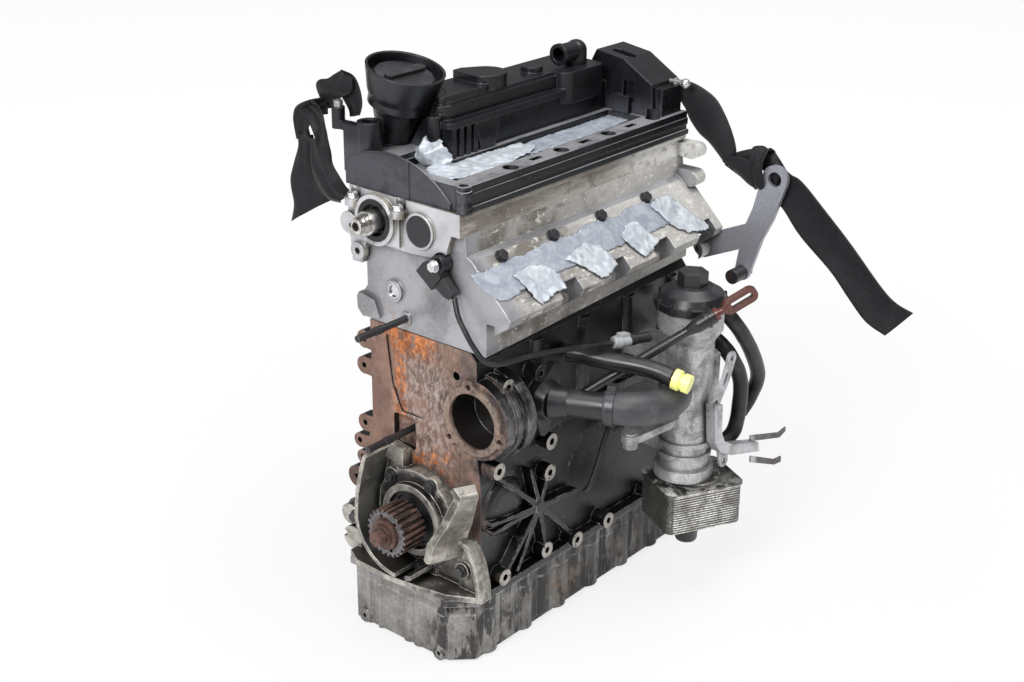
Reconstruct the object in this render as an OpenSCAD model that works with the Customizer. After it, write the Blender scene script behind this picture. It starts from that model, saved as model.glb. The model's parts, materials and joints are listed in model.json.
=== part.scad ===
/* [Cylinders] */
// Number of cylinders in the row
cylinders = 4; // [3:1:5]
// Distance between neighbouring cylinder centres
bore_pitch = 88; // [86:1:92]
// Cylinder bore diameter
bore_d = 81; // [76:0.5:82]
// Piston stroke
stroke = 95.5; // [90:0.5:96]
// Height of the piston from skirt edge to crown
piston_h = 46; // [40:1:48]
// Radial running clearance of pistons and shafts
run_gap = 0.05; // [0.02:0.01:0.1]

/* [Block] */
// Front face to the centre of the first cylinder
first_bore_x = 58; // [56:1:64]
// Last cylinder centre to the rear face
last_bore_gap = 78; // [70:1:90]
// Crank axis up to the deck
deck_h = 220; // [218:1:230]
// Half width of the block at the deck
deck_half_w = 78; // [74:1:82]
// Half width of the crankcase skirt
skirt_half_w = 97; // [94:1:102]
// Crank axis down to the sump joint
skirt_drop = 77; // [76:1:82]
// Thickness of the front wall with its ears
ear_plate_t = 14; // [10:1:20]
// Water pump bore diameter
pump_bore_d = 66; // [60:1:70]

/* [Crankshaft] */
// Main journal diameter
main_d = 54; // [50:1:56]
// Main bearing width
main_w = 22; // [20:1:24]
// Crankpin diameter
pin_d = 50; // [46:1:50]
// Thickness of one crank web
web_t = 17; // [14:1:18]
// Flywheel flange diameter
flywheel_flange_d = 84; // [80:1:90]
// Flywheel bolt circle diameter
flywheel_pcd = 60; // [56:1:62]
// Teeth on the belt sprocket
sprocket_teeth = 23; // [20:1:24]
// Belt tooth pitch
belt_pitch = 8; // [7.5:0.1:8.2]
// Length of the toothed sprocket
sprocket_l = 34; // [28:1:36]

/* [Sump] */
// Depth of the sump below its joint
sump_depth = 83; // [76:1:95]
// Wall thickness of the cast sump
sump_wall = 5; // [4:0.5:8]
// Number of stiffening ribs on a long side
sump_ribs = 12; // [8:1:14]

/* [Head] */
// Head casting height
head_h = 130; // [126:1:136]
// Head gasket thickness
gasket_t = 1.5; // [1:0.1:2]
// Half width of the head at the deck
head_half_w = 92; // [88:1:95]
// Length of the head
head_l = 404; // [400:1:410]
// Width of the sloping intake flange
intake_flange_w = 76; // [66:1:80]

/* [Cam carrier] */
// Height of the cast cam carrier
carrier_h = 26; // [22:1:30]
// Camshaft centre distance
cam_pitch = 62; // [60:1:64]
// Camshaft journal diameter
cam_journal_d = 24; // [22:1:26]
// Teeth on each cam gear
cam_gear_teeth = 31; // [29:1:33]

/* [Cover] */
// Height of the cover's outer rail
rail_h = 28; // [24:1:32]
// Top of the central box above the rail
box_rise = 66; // [56:1:72]
// Tilt of the filler neck towards the intake side
neck_tilt = 14; // [8:1:18]
// Filler funnel rim diameter
funnel_d = 90; // [80:1:96]
// Filler neck diameter
neck_d = 52; // [46:1:56]

/* [Oil filter and cooler] */
// Oil filter housing diameter
filter_d = 72; // [68:1:76]
// Oil cooler length
cooler_l = 102; // [90:1:110]
// Oil cooler width
cooler_w = 78; // [70:1:84]
// Oil cooler plate count
cooler_plates = 16; // [12:1:18]
// Pitch of the cooler plates
plate_pitch = 3.2; // [3:0.1:3.4]

/* [Pipes] */
// Coolant hose outside diameter
coolant_hose_d = 38; // [34:1:42]
// Breather hose outside diameter
breather_d = 19; // [16:1:21]
// Dipstick tube diameter
dip_tube_d = 11; // [10:0.5:13]
// Sensor cable diameter
sensor_cable_d = 6; // [5:0.5:7]

/* [Hidden] */
$fn = 48;

eps = 0.01;
crank_r = stroke / 2;
block_l = first_bore_x + (cylinders - 1) * bore_pitch + last_bore_gap;
flange_stand = 8;
crank_rear_x = block_l + flange_stand;
bore_x = [for (i = [0 : cylinders - 1]) first_bore_x + i * bore_pitch];
main_x = [for (i = [0 : cylinders]) first_bore_x + (i - 0.5) * bore_pitch];
crankcase_r = crank_r + pin_d / 2 + 6;
skirt_wall = crankcase_r + 5;
crankcase_top = sqrt(pow(crankcase_r, 2) - pow(bore_d / 2 - 2, 2));
head_z = deck_h + gasket_t;
carrier_z = head_z + head_h;
cover_z = carrier_z + carrier_h;
rail_z = cover_z + rail_h;
sump_z = -skirt_drop - sump_depth;
pump_y = -75;
pump_z = 141;
pump_boss_r = pump_bore_d / 2 + 17;
cam_z = carrier_z - 4;
cam_mid_y = 25;
cam_exhaust_y = cam_mid_y + cam_pitch / 2;
cam_intake_y = cam_mid_y - cam_pitch / 2;
hole_gap = 0.15;
flat_gap = 0.02;

// A profile drawn as (Y, Z) and extruded towards +X
module along_x(l) {
    rotate([90, 0, 90]) linear_extrude(l) children();
}

// A profile drawn as (X, Z) and extruded towards -Y
module along_y(l) {
    rotate([90, 0, 0]) linear_extrude(l) children();
}

module rod_x(r, l) {
    rotate([0, 90, 0]) cylinder(r = r, h = l);
}

module rod_y(r, l) {
    rotate([90, 0, 0]) cylinder(r = r, h = l);
}

// Hexagon bolt with a washer face, head on top, shank going down
module hex_bolt(key, head_h, shank_r, shank_l) {
    cylinder(d = key / cos(30), h = head_h, $fn = 6);
    translate([0, 0, -shank_l]) cylinder(r = shank_r, h = shank_l + eps);
}

// Flat web from a to b, with half widths wa and wb
module web(a, b, wa, wb) {
    d = (b - a) / norm(b - a);
    n = [-d[1], d[0]];
    polygon([a - n * wa, b - n * wb, b + n * wb, a + n * wa]);
}

// A smooth point on the curve through four hand-set points
function spline(p0, p1, p2, p3, t) =
    0.5 * (2 * p1 + (p2 - p0) * t + (2 * p0 - 5 * p1 + 4 * p2 - p3) * t * t
    + (3 * p1 - p0 - 3 * p2 + p3) * t * t * t);
function at(pts, i) = pts[max(0, min(len(pts) - 1, i))];
function route(pts, n) =
    [for (i = [0 : len(pts) - 2], k = [0 : n - 1])
        spline(at(pts, i - 1), pts[i], pts[i + 1], at(pts, i + 2), k / n),
        pts[len(pts) - 1]];
function unit(v) = v / norm(v);
function tangent(p, i) = unit(at(p, i + 1) - at(p, i - 1));
function side_of(t, up) = unit(cross(t, up));

// One closed tube swept along a route of points
module sweep(pts, n, r, sides, up = [0.2, 0.3, 1]) {
    p = route(pts, n);
    m = len(p);
    rings = [for (i = [0 : m - 1])
        let (t = tangent(p, i), u = side_of(t, up), v = cross(u, t))
        for (k = [0 : sides - 1])
            p[i] + r * (u * cos(360 * k / sides) + v * sin(360 * k / sides))];
    walls = [for (i = [0 : m - 2], k = [0 : sides - 1])
        let (a = i * sides + k, b = i * sides + (k + 1) % sides)
        [a, b, b + sides, a + sides]];
    start_cap = [[for (k = [0 : sides - 1]) sides - 1 - k]];
    end_cap = [[for (k = [0 : sides - 1]) (m - 1) * sides + k]];
    polyhedron(rings, concat(walls, start_cap, end_cap));
}

// A flat band through [centre, half width vector] stations
module ribbon(stations, thick) {
    n = len(stations);
    p = [for (s = stations) s[0]];
    corners = [for (i = [0 : n - 1])
        let (w = stations[i][1], h = unit(cross(tangent(p, i), w)) * thick / 2)
        for (c = [w + h, w - h, -w - h, -w + h]) p[i] + c];
    walls = [for (i = [0 : n - 2], k = [0 : 3])
        let (a = i * 4 + k, b = i * 4 + (k + 1) % 4) [a, b, b + 4, a + 4]];
    polyhedron(corners, concat(walls, [[3, 2, 1, 0]], [[for (k = [0 : 3]) (n - 1) * 4 + k]]));
}

// ---------------------------------------------------------------- block

module block_profile() {
    polygon([
        [deck_half_w + 4, deck_h], [-deck_half_w + 8, deck_h], [-deck_half_w, deck_h - 10],
        [-deck_half_w, 96], [-skirt_wall, 62], [-skirt_wall, -skirt_drop + 8],
        [-skirt_half_w, -skirt_drop + 8], [-skirt_half_w, -skirt_drop],
        [skirt_half_w, -skirt_drop], [skirt_half_w, -skirt_drop + 8],
        [skirt_half_w - 6, -skirt_drop + 8], [skirt_half_w - 6, 62], [deck_half_w + 4, 96]
    ]);
}

// Ears of the front wall as [Y, Z, radius]
left_ears = [[93, 192, 11], [94, 159, 11], [95, 85, 11], [105, 59, 9], [101, 38, 9],
    [112, 8, 14], [116, -36, 12]];
stud_y = 24;
lower_stud_z = 98;
cap_half_w = 46;
cap_depth = 44;
flange_recess_l = 15;
gearbox_bolt_r = 6.5;
gearbox_bolts = [[-92, 150], [92, 150], [-92, -50], [92, -50]];
pump_screws = [[-70, 181], [-42, 113], [-115, 129]];
outlet_x = 98;
outlet_z = 138;
outlet_boss_r = 29;
outlet_face_y = -deck_half_w - 10;
shank_r = 3;

// Side bosses on the intake side as [X, Z, outer face Y]
side_bosses = [[24, 181, -104], [89, 174, -97], [108, 82, -99], [106, 43, -99], [15, 80, -99],
    [26, -61, -99], [103, -59, -99], [155, -66, -104], [217, -66, -104], [310, -66, -104],
    [330, 40, -104]];
boss_r = 10;
hub_x = 90;
hub_z = 4;
rib_ends = [[14, 72], [72, 60], [106, 43], [160, -2], [158, -64], [102, -58], [50, -64], [30, -58],
    [4, 16], [6, 4]];

module front_wall_profile() {
    block_profile();
    for (e = left_ears) {
        translate([e[0], e[1]]) circle(r = e[2], $fn = 32);
        web([70, e[1]], [e[0], e[1]], 12, e[2] * 0.9);
    }
}

module pump_flange_profile() {
    circle(r = pump_bore_d / 2 + 8);
    for (p = pump_screws) {
        translate([p[0] - pump_y, p[1] - pump_z]) circle(r = 9, $fn = 32);
        web([0, 0], [p[0] - pump_y, p[1] - pump_z], pump_bore_d / 2, 8);
    }
}

// Straight stiffening rib on the intake side, from the hub to a point
module side_rib(to) {
    translate([0, 5 - skirt_wall, 0]) along_y(19) web([hub_x, hub_z], to, 3.4, 1.8);
}

module side_castings() {
    for (b = side_bosses) translate([b[0], -60, b[1]]) rod_y(boss_r, -60 - b[2]);
    for (r = rib_ends) side_rib(r);
    translate([hub_x, 5 - skirt_wall, hub_z]) rod_y(8, 20);
    // low dome of the front bearing oil way
    translate([38, 1 - skirt_wall, 22]) rotate([90, 0, 0]) rotate_extrude()
        polygon([[0, 0], [37, 0], [35, 4], [29, 7], [20, 9], [0, 10]]);
    // head bolt columns and the long gallery rail, on both sides
    for (s = [-1, 1], x = main_x) if (x > 30)
        translate([x, s * (deck_half_w - 4), 90]) cylinder(r = 11, h = deck_h - 102, $fn = 32);
    for (s = [-1, 1]) translate([ear_plate_t, s * 80 - 7, 90]) cube([block_l - 30, 14, 12]);
    translate([outlet_x, -60, outlet_z]) rod_y(outlet_boss_r, -60 - outlet_face_y);
    // core plug rims on the exhaust side
    for (x = bore_x) translate([x, 88, 150]) rod_y(20, 16);
}

module engine_block() {
    color("#6b4a3c")
    difference() {
        union() {
            along_x(ear_plate_t) front_wall_profile();
            translate([ear_plate_t - eps, 0, 0])
                along_x(block_l - ear_plate_t + eps) block_profile();
            translate([-5, pump_y, pump_z]) along_x(16) pump_flange_profile();
            translate([0, pump_y, pump_z]) rod_x(pump_boss_r - 3, 44);
            translate([16, pump_y, pump_z]) rod_x(pump_boss_r + 1, 7);
            translate([30, pump_y, pump_z]) rod_x(pump_boss_r + 3, 14);
            side_castings();
            translate([block_l - 16, 0, 0]) along_x(16) rear_flange_profile();
        }
        for (x = bore_x) {
            translate([x, 0, crankcase_top - 4]) cylinder(d = bore_d, h = deck_h, $fn = 96);
            translate([x, 90, 150]) rod_y(16, 5);
        }
        // crank chambers between the main bearing walls
        for (x = bore_x) {
            translate([x - (bore_pitch - main_w) / 2 + 1, 0, 0])
                rod_x(crankcase_r, bore_pitch - main_w - 2);
            translate([x - (bore_pitch - main_w) / 2 + 1, -crankcase_r, -skirt_drop - 1])
                cube([bore_pitch - main_w - 2, 2 * crankcase_r, skirt_drop + 1]);
        }
        // line bore of the main bearings and room for the flywheel flange
        translate([-4, 0, 0]) rod_x(main_d / 2 + run_gap, block_l + 5);
        translate([block_l - flange_recess_l, 0, 0])
            rod_x(flywheel_flange_d / 2 + 0.5, flange_recess_l + 1);
        // room for the bearing caps
        for (x = main_x) {
            translate([x - main_w / 2 - 1 - eps, -cap_half_w - 0.5, -skirt_drop - 1])
                cube([main_w + 2 + 2 * eps, 2 * cap_half_w + 1, skirt_drop + 1]);
        }
        // water pump opening and its screws
        translate([-6, pump_y, pump_z]) rod_x(pump_bore_d / 2, 44);
        for (p = pump_screws) translate([-6, p[0], p[1]]) rod_x(3.5, 16, $fn = 24);
        translate([-4, -49, 187]) rod_x(5, 14, $fn = 24);
        for (e = left_ears) translate([-1, e[0], e[1]]) rod_x(3.5, ear_plate_t + 2, $fn = 24);
        for (b = side_bosses) translate([b[0], b[2] + 16, b[1]]) rod_y(4, 17, $fn = 24);
        for (p = gearbox_bolts) {
            translate([block_l - 17, p[0], p[1]]) rod_x(gearbox_bolt_r, 18);
        }
        // sunk middle panel, stud pocket and the screws of the seal flange
        translate([-1, 0, 0]) along_x(4) polygon([[58, 208], [50, 150], [36, 118], [4, 118],
            [-14, 140], [-14, 208]]);
        translate([-1, 31, 94]) along_x(10) offset(5) square([24, 30], center = true);
        translate([3, stud_y, lower_stud_z]) rod_x(stud_r + hole_gap, 16);
        for (p = flange_bolt_places) translate([-1, p[0], p[1]]) rod_x(shank_r + hole_gap, 16);
    }
}

module rear_flange_profile() {
    block_profile();
    for (p = gearbox_bolts) {
        translate(p) circle(r = 13, $fn = 32);
        web([p[0] * 0.6, p[1]], p, 16, 11);
    }
}

module bearing_caps() {
    color("#4d4a48")
    difference() {
        for (x = main_x) {
            translate([x - main_w / 2, -cap_half_w, -cap_depth])
                cube([main_w, 2 * cap_half_w, cap_depth - flat_gap]);
        }
        translate([-main_w, 0, 0]) rod_x(main_d / 2 + run_gap, block_l + 2 * main_w);
    }
}

// ---------------------------------------------------------------- crankshaft

// Direction of each crank throw, as an angle about the crank axis
throws = [for (i = [0 : cylinders - 1]) (i == 0 || i == cylinders - 1) ? -90 : 90];
nose_r = 15;
nose_screw_r = 6;
pilot_l = 8;
sprocket_front_x = -66;

module crank_web(a) {
    rotate([a, 0, 0]) along_x(web_t) {
        circle(r = main_d / 2 + 4);
        translate([crank_r, 0]) circle(r = pin_d / 2 - 1);
        web([0, 0], [crank_r, 0], main_d / 2 + 2, pin_d / 2 - 3);
        intersection() {
            circle(r = crankcase_r - 8);
            translate([-crankcase_r, -40]) square([crankcase_r - 6, 80]);
        }
    }
}

module crankshaft() {
    color("#77716c")
    difference() {
        union() {
            for (x = main_x) {
                translate([x - main_w / 2 - 1, 0, 0]) rod_x(main_d / 2, main_w + 2);
            }
            for (i = [0 : cylinders - 1]) {
                translate([main_x[i] + main_w / 2 + 1, 0, 0]) crank_web(throws[i]);
                translate([main_x[i + 1] - main_w / 2 - 1 - web_t, 0, 0]) crank_web(throws[i]);
                rotate([throws[i], 0, 0])
                    translate([bore_x[i] - 16, crank_r, 0]) rod_x(pin_d / 2, 32);
            }
            translate([sprocket_front_x, 0, 0]) rod_x(nose_r, main_x[0] - sprocket_front_x);
            translate([main_x[cylinders], 0, 0]) rod_x(main_d / 2, block_l - main_x[cylinders]);
            translate([block_l - flange_recess_l + 1, 0, 0])
                rod_x(flywheel_flange_d / 2, flange_recess_l - 1 + flange_stand);
        }
        for (k = [0 : 5]) rotate([60 * k, 0, 0])
            translate([crank_rear_x - 18, flywheel_pcd / 2, 0]) rod_x(4.5, 19);
        translate([crank_rear_x - pilot_l, 0, 0]) rod_x(11, pilot_l + 1);
        translate([sprocket_front_x - 1, 0, 0]) rod_x(nose_screw_r + hole_gap, 45);
    }
}

module belt_teeth(teeth, root_r, tip_r, fill) {
    circle(r = root_r, $fn = 96);
    for (k = [0 : teeth - 1]) rotate(360 * k / teeth)
        polygon([[root_r - 1, -root_r * fill / 2], [tip_r, -root_r * fill / 3],
            [tip_r, root_r * fill / 3], [root_r - 1, root_r * fill / 2]]);
}

module crank_sprocket() {
    pitch_r = sprocket_teeth * belt_pitch / (2 * PI);
    color("#6e5a4c")
    difference() {
        translate([sprocket_front_x, 0, 0]) along_x(sprocket_l)
            belt_teeth(sprocket_teeth, pitch_r - 3.2, pitch_r, 0.17);
        translate([sprocket_front_x - 1, 0, 0]) rod_x(nose_r + flat_gap, sprocket_l + 2);
        for (a = [70, 130, 250]) rotate([a, 0, 0])
            translate([sprocket_front_x - 1, 21, 0]) rod_x(2.2, 9, $fn = 24);
    }
}

module crank_bolt() {
    color("#6a4b3a")
    translate([sprocket_front_x, 0, 0]) {
        translate([-5 - flat_gap, 0, 0]) rod_x(18, 5);
        translate([-9, 0, 0]) rod_x(13, 4);
        translate([-18, 0, 0]) rotate([0, 90, 0]) cylinder(d = 18 / cos(30), h = 9 + eps, $fn = 6);
        translate([-1, 0, 0]) rod_x(nose_screw_r, 42);
    }
}

// ---------------------------------------------------------------- seal flanges

seal_r = 36;
crank_seal_lip = 0.4;
plate_t = 12;
flange_bolt_places = [[37, 42], [-25, 49], [98, -34], [-8, -61], [-70, -44]];
front_lobe_y = -skirt_half_w - 2;
guard_r = 58;

module front_flange_profile() {
    circle(r = 59, $fn = 96);
    polygon([[skirt_half_w + 14, -skirt_drop], [skirt_half_w + 16, -56], [skirt_half_w + 10, -24],
        [88, -8], [82, 40], [70, 66], [46, 80], [20, 76], [20, 40], [-40, 0], [-52, -2],
        [-80, -8], [front_lobe_y + 6, -32], [front_lobe_y, -58], [front_lobe_y, -skirt_drop]]);
}

// Thin wall that follows a row of points, a little thicker where it turns
module wall_along(pts, half) {
    for (i = [0 : len(pts) - 2]) {
        web(pts[i], pts[i + 1], half, half);
        translate(pts[i]) circle(r = half + 0.4, $fn = 24);
    }
}

module front_seal_flange() {
    color("#8d8a80")
    difference() {
        union() {
            translate([-plate_t, 0, 0]) along_x(plate_t) front_flange_profile();
            // seal housing and the raised step round it
            translate([-26, 0, 0]) rod_x(seal_r + 8, 15);
            translate([-plate_t - 5, 0, 0]) along_x(6) difference() {
                circle(r = 59, $fn = 96);
                translate([-20, -70]) square([100, 60]);
            }
            // curved belt guard on the left and below the sprocket
            translate([-54, 0, 0]) along_x(44) {
                difference() {
                    circle(r = guard_r + 5, $fn = 96);
                    circle(r = guard_r, $fn = 96);
                    translate([-80, 0]) square([160, 80]);
                    translate([-80, -80]) square([56, 100]);
                }
                wall_along([[guard_r + 2.5, -0.5], [57, 30], [49, 62], [44, 78]], 2.5);
            }
            translate([-plate_t - 4, 0, 0]) along_x(6)
                polygon([[20, 80], [46, 84], [50, 64], [20, 58]]);
            // right belt wing, leaning outwards and turned back
            difference() {
                translate([-48, -50, -14]) rotate([0, 0, -27]) translate([-20, 0, 0]) along_x(62)
                    wall_along([[4, -12], [0, 8], [-20, 44], [-30, 66], [-38, 84], [-30, 92]], 4);
                translate([-90, -130, -60]) cube([42, 120, 160]);
                translate([-1, -130, -60]) cube([42, 120, 160]);
            }
            // foot that covers the front of the sump
            translate([0, 0, -skirt_drop]) linear_extrude(7)
                polygon([[-1, 92], [-34, 92], [-46, 70], [-48, 20], [-42, -30], [-36, -62],
                    [-16, front_lobe_y], [-1, front_lobe_y]]);
            // raised wall round the lower right bolt
            translate([-plate_t - 8, 0, 0]) along_x(12)
                wall_along([[-46, -8], [-62, -4], [-80, -10], [front_lobe_y + 8, -32],
                    [front_lobe_y + 3, -58], [front_lobe_y + 3, -72]], 2.5);
            for (p = flange_bolt_places) translate([-plate_t - 5, p[0], p[1]]) rod_x(10, 8);
            translate([-plate_t - 10, 100, -62]) rod_x(15, 16);
            translate([-plate_t - 6, 108, -34]) rod_x(13, 10);
        }
        translate([-60, 0, 0]) rod_x(seal_r + flat_gap, 80);
        for (p = flange_bolt_places) translate([-60, p[0], p[1]]) rod_x(shank_r + hole_gap, 62);
        for (p = flange_bolt_places) translate([-70, p[0], p[1]]) rod_x(8.5, 70 - plate_t - 5);
        translate([-30, 113, -60]) rod_x(4, 32, $fn = 24);
        // slot over the foot
        translate([-60, -62, -skirt_drop + 7]) cube([60 - plate_t + 3, 36, 9]);
    }
}

module front_crank_seal() {
    color("#1c1c1c")
    translate([-20, 0, 0]) difference() {
        rod_x(seal_r, 18);
        translate([-1, 0, 0]) rod_x(nose_r + crank_seal_lip, 20);
        translate([-1, 0, 0]) difference() {
            rod_x(seal_r - 5, 5);
            translate([-1, 0, 0]) rod_x(nose_r + 5, 7);
        }
    }
}

module rear_seal_flange() {
    color("#8d8a80")
    translate([block_l, 0, 0]) difference() {
        along_x(6) polygon([[60, -skirt_drop + 10], [60, 40], [30, 62], [-30, 62],
            [-60, 40], [-60, -skirt_drop + 10]]);
        translate([-1, 0, 0]) rod_x(flywheel_flange_d / 2 + crank_seal_lip, 8);
    }
}

module flange_bolts() {
    color("#3a3a3c")
    for (p = flange_bolt_places)
        translate([p[0] == -62 ? -18 : -plate_t - 6, p[0], p[1]]) rotate([0, -90, 0]) {
            hex_bolt(11, 6, shank_r, 14);
            translate([0, 0, flat_gap]) cylinder(r = 7.5, h = 1.6);
        }
}

// ---------------------------------------------------------------- pistons

module piston(i) {
    bottom = deck_h - stroke - piston_h;
    color("#b4b6b8")
    translate([bore_x[i], 0, bottom]) difference() {
        cylinder(r = bore_d / 2 - run_gap, h = piston_h, $fn = 96);
        for (z = [piston_h - 10, piston_h - 16, piston_h - 22]) translate([0, 0, z]) difference() {
            cylinder(d = bore_d + 2, h = 2);
            translate([0, 0, -1]) cylinder(r = bore_d / 2 - 3, h = 4);
        }
        translate([0, 0, piston_h - 8]) cylinder(r = 24, h = 9);
        translate([0, 0, -1]) cylinder(r = bore_d / 2 - 7, h = piston_h - 24);
        translate([0, bore_d / 2 + 1, 16]) rod_y(13, bore_d + 2);
    }
}

module piston_1() {
    piston(0);
}

module piston_2() {
    piston(1);
}

module piston_3() {
    piston(2);
}

module piston_4() {
    piston(3);
}

// ---------------------------------------------------------------- sump

sump_front_x = -32;
sump_rear_x = block_l - 4;
sump_side_y = -skirt_half_w + 12;

module sump_outline(inset) {
    polygon([
        [sump_front_x + inset, skirt_half_w - 12 - inset],
        [sump_front_x + inset, -62 + inset * 0.6],
        [-10 + inset * 0.6, sump_side_y + inset],
        [sump_rear_x - inset, sump_side_y + inset],
        [sump_rear_x - inset, skirt_half_w - 12 - inset]
    ]);
}

module sump() {
    side_l = sump_rear_x - 8;
    rib_pitch = side_l / sump_ribs;
    color("#76726a")
    difference() {
        union() {
            translate([0, 0, sump_z]) linear_extrude(sump_depth - flat_gap) sump_outline(0);
            // joint flange with its bolt lugs
            translate([0, 0, -skirt_drop - 9]) linear_extrude(9 - flat_gap)
                offset(delta = 5) sump_outline(0);
            // ribs and scallops down both long sides
            for (s = [-1, 1], k = [0 : sump_ribs - 1]) {
                translate([16 + k * rib_pitch, s * -(sump_side_y + 11), sump_z + 6 * (k % 2)])
                    cylinder(r = 16, h = sump_depth - 6 - 6 * (k % 2));
            }
            for (b = side_bosses) if (b[1] < -60)
                translate([b[0], sump_side_y + 4, sump_z + 8]) cylinder(r = 8, h = sump_depth - 9);
            // front ribs, corner lugs and feet
            for (f = [[64, 4], [46, 4], [2, 9], [-14, 9], [-52, 12]])
                translate([sump_front_x + f[1] - 3, f[0], sump_z]) cylinder(r = f[1], h = sump_depth - 8);
            translate([sump_front_x - 4, -50, sump_z + 6]) rod_x(9, 8);
            translate([sump_front_x - 4, 70, sump_z + 8]) rod_x(9, 8);
            translate([sump_front_x - 5, -56, -skirt_drop - 16]) rod_x(8, 8);
            for (x = [0, 120, 250, sump_rear_x - 26]) translate([x, 0, sump_z - 4])
                cylinder(r = 14, h = 6);
        }
        translate([0, 0, sump_z + sump_wall])
            linear_extrude(sump_depth) sump_outline(sump_wall + 3);
        translate([sump_front_x - 5, -50, sump_z + 6]) rod_x(3, 8, $fn = 24);
        translate([sump_front_x - 5, 70, sump_z + 8]) rod_x(3, 8, $fn = 24);
        translate([sump_rear_x - 14, 20, sump_z + 20]) rod_x(drain_r + hole_gap, 16);
    }
}

drain_r = 7;

module drain_plug() {
    color("#3a3a3c")
    translate([sump_rear_x + flat_gap, 20, sump_z + 20]) rotate([0, 90, 0]) {
        hex_bolt(17, 9, drain_r, 10);
        cylinder(r = 12, h = 3);
    }
}

// ---------------------------------------------------------------- head

module head_gasket() {
    color("#4a4a4a")
    difference() {
        translate([1, -deck_half_w + 9, deck_h + flat_gap])
            cube([block_l - 2, 2 * deck_half_w - 6, gasket_t - 2 * flat_gap]);
        for (x = bore_x) translate([x, 0, deck_h - 1])
            cylinder(d = bore_d + 2, h = gasket_t + 2, $fn = 96);
    }
}

flange_top_y = -72;
flange_top_z = carrier_z - 26;
flange_low_y = flange_top_y - intake_flange_w * cos(45);
flange_low_z = flange_top_z - intake_flange_w * sin(45);
upper_stud_z = head_z + 14.5;
stud_r = 4;
cam_bore_r = cam_journal_d / 2 + run_gap;
lobe_room_r = 17;
cam_gear_x = 20;
cam_gear_w = 10;
gear_module = cam_pitch / cam_gear_teeth;
gear_tip_r = cam_pitch / 2 + 0.9 * gear_module;
port_len = 40;
port_w = 15;
lobe_spread = 18;
cam_end_x = bore_x[cylinders - 1] + lobe_spread + 32;
sensor_bolt_y = -36;
plug_z = head_z + 43.5;
sensor_bolt_z = carrier_z - 33.5;
eye_foot = [-98, head_z + 18];
eye_top = [-193, head_z + 124];
eye_leg = [-156, head_z - 2];

module head_profile() {
    polygon([
        [head_half_w, head_z], [-head_half_w, head_z], [-head_half_w, flange_low_z - 30],
        [flange_low_y + 4, flange_low_z - 9], [flange_low_y, flange_low_z],
        [flange_top_y, flange_top_z], [flange_top_y + 8, flange_top_z + 4],
        [flange_top_y + 10, carrier_z - flat_gap], [84, carrier_z - flat_gap], [84, head_z + 40],
        [head_half_w, head_z + 28]
    ]);
}

// Passages shared by the head and the cam carrier
module cam_tunnels() {
    for (y = [cam_exhaust_y, cam_intake_y]) {
        translate([-1, y, cam_z]) rod_x(cam_bore_r, cam_end_x + 22);
        translate([cam_gear_x - 2, y, cam_z]) rod_x(gear_tip_r + 1, cam_gear_w + 4);
        for (x = bore_x) translate([x - lobe_spread - 9, y, cam_z])
            rod_x(lobe_room_r, 2 * lobe_spread + 18);
    }
}

module intake_face(x, down, out) {
    translate([x, flange_top_y - down * cos(45), flange_top_z - down * sin(45)])
        rotate([45, 0, 0]) translate([0, 0, out]) children();
}

module cylinder_head() {
    color("#a3a5a8")
    difference() {
        union() {
            along_x(head_l) head_profile();
            // lugs on the front and rear faces
            translate([-5, 0, 0]) along_x(16) polygon([[62, head_z + 6], [70, head_z + 26],
                [94, head_z + 30], [97, head_z + 24], [96, head_z + 10], [88, head_z + 2]]);
            translate([-4, 0, 0]) along_x(8) translate([41, plug_z]) circle(r = 12.5);
            translate([-3, 0, 0]) along_x(6) translate([stud_y, upper_stud_z]) circle(r = 8);
            translate([head_l - 16, 0, 0]) along_x(20) hull() {
                translate([-84, carrier_z - 24]) circle(r = 10);
                translate([-66, carrier_z - 34]) square([8, 20]);
            }
            translate([head_l - 18, 0, 0]) along_x(18) hull() {
                translate(eye_foot) circle(r = 12);
                translate([-76, head_z + 5]) square([8, 30]);
            }
            // round bosses under the sloping flange
            for (x = [118, 300]) translate([x, -70, head_z + 34]) rod_y(10, 34);
            // ribs of the port runners
            for (x = bore_x) translate([x - 22, -head_half_w - 8, head_z + 8]) cube([10, 30, 34]);
        }
        cam_tunnels();
        // taper of the lower wall towards the rear
        translate([0, 0, head_z - 1]) linear_extrude(40) polygon([[0, -head_half_w - 12],
            [0, -head_half_w], [head_l + 1, -head_half_w + 18], [head_l + 1, -head_half_w - 12]]);
        // hollows under the sloping flange between the ports
        for (x = bore_x) translate([x + 32, flange_low_y - 1, head_z + 30])
            cube([36, 34, 32]);
        for (x = bore_x) intake_face(x, 29, -26)
            linear_extrude(40) offset(7) square([port_len - 14, port_w - 14], center = true);
        for (x = bore_x) intake_face(x - 16, 6, -12) cylinder(r = shank_r + hole_gap, h = 20, $fn = 24);
        translate([-6, 41, plug_z]) rod_x(9, 8);
        translate([-6, stud_y, upper_stud_z]) rod_x(stud_r + hole_gap, 21);
        translate([-1, sensor_bolt_y, sensor_bolt_z]) rod_x(shank_r + hole_gap, 14);
        translate([head_l - 14, eye_foot[0], eye_foot[1]]) rod_x(stud_r + hole_gap, 17);
        translate([head_l - 2, -84, carrier_z - 24]) rod_x(4, 8, $fn = 24);
    }
}

module core_plug() {
    color("#b9bcc4")
    translate([-3.5, 41, plug_z]) difference() {
        rod_x(9 - flat_gap, 5);
        translate([-1, 0, 0]) rod_x(7, 3.5);
    }
}

// ---------------------------------------------------------------- cam carrier

cam_seal_r = 24;
cam_plug_r = 17.5;
front_plate_x = -8;
cap_front_x = -16;
carrier_lip_y = -62;

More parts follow.
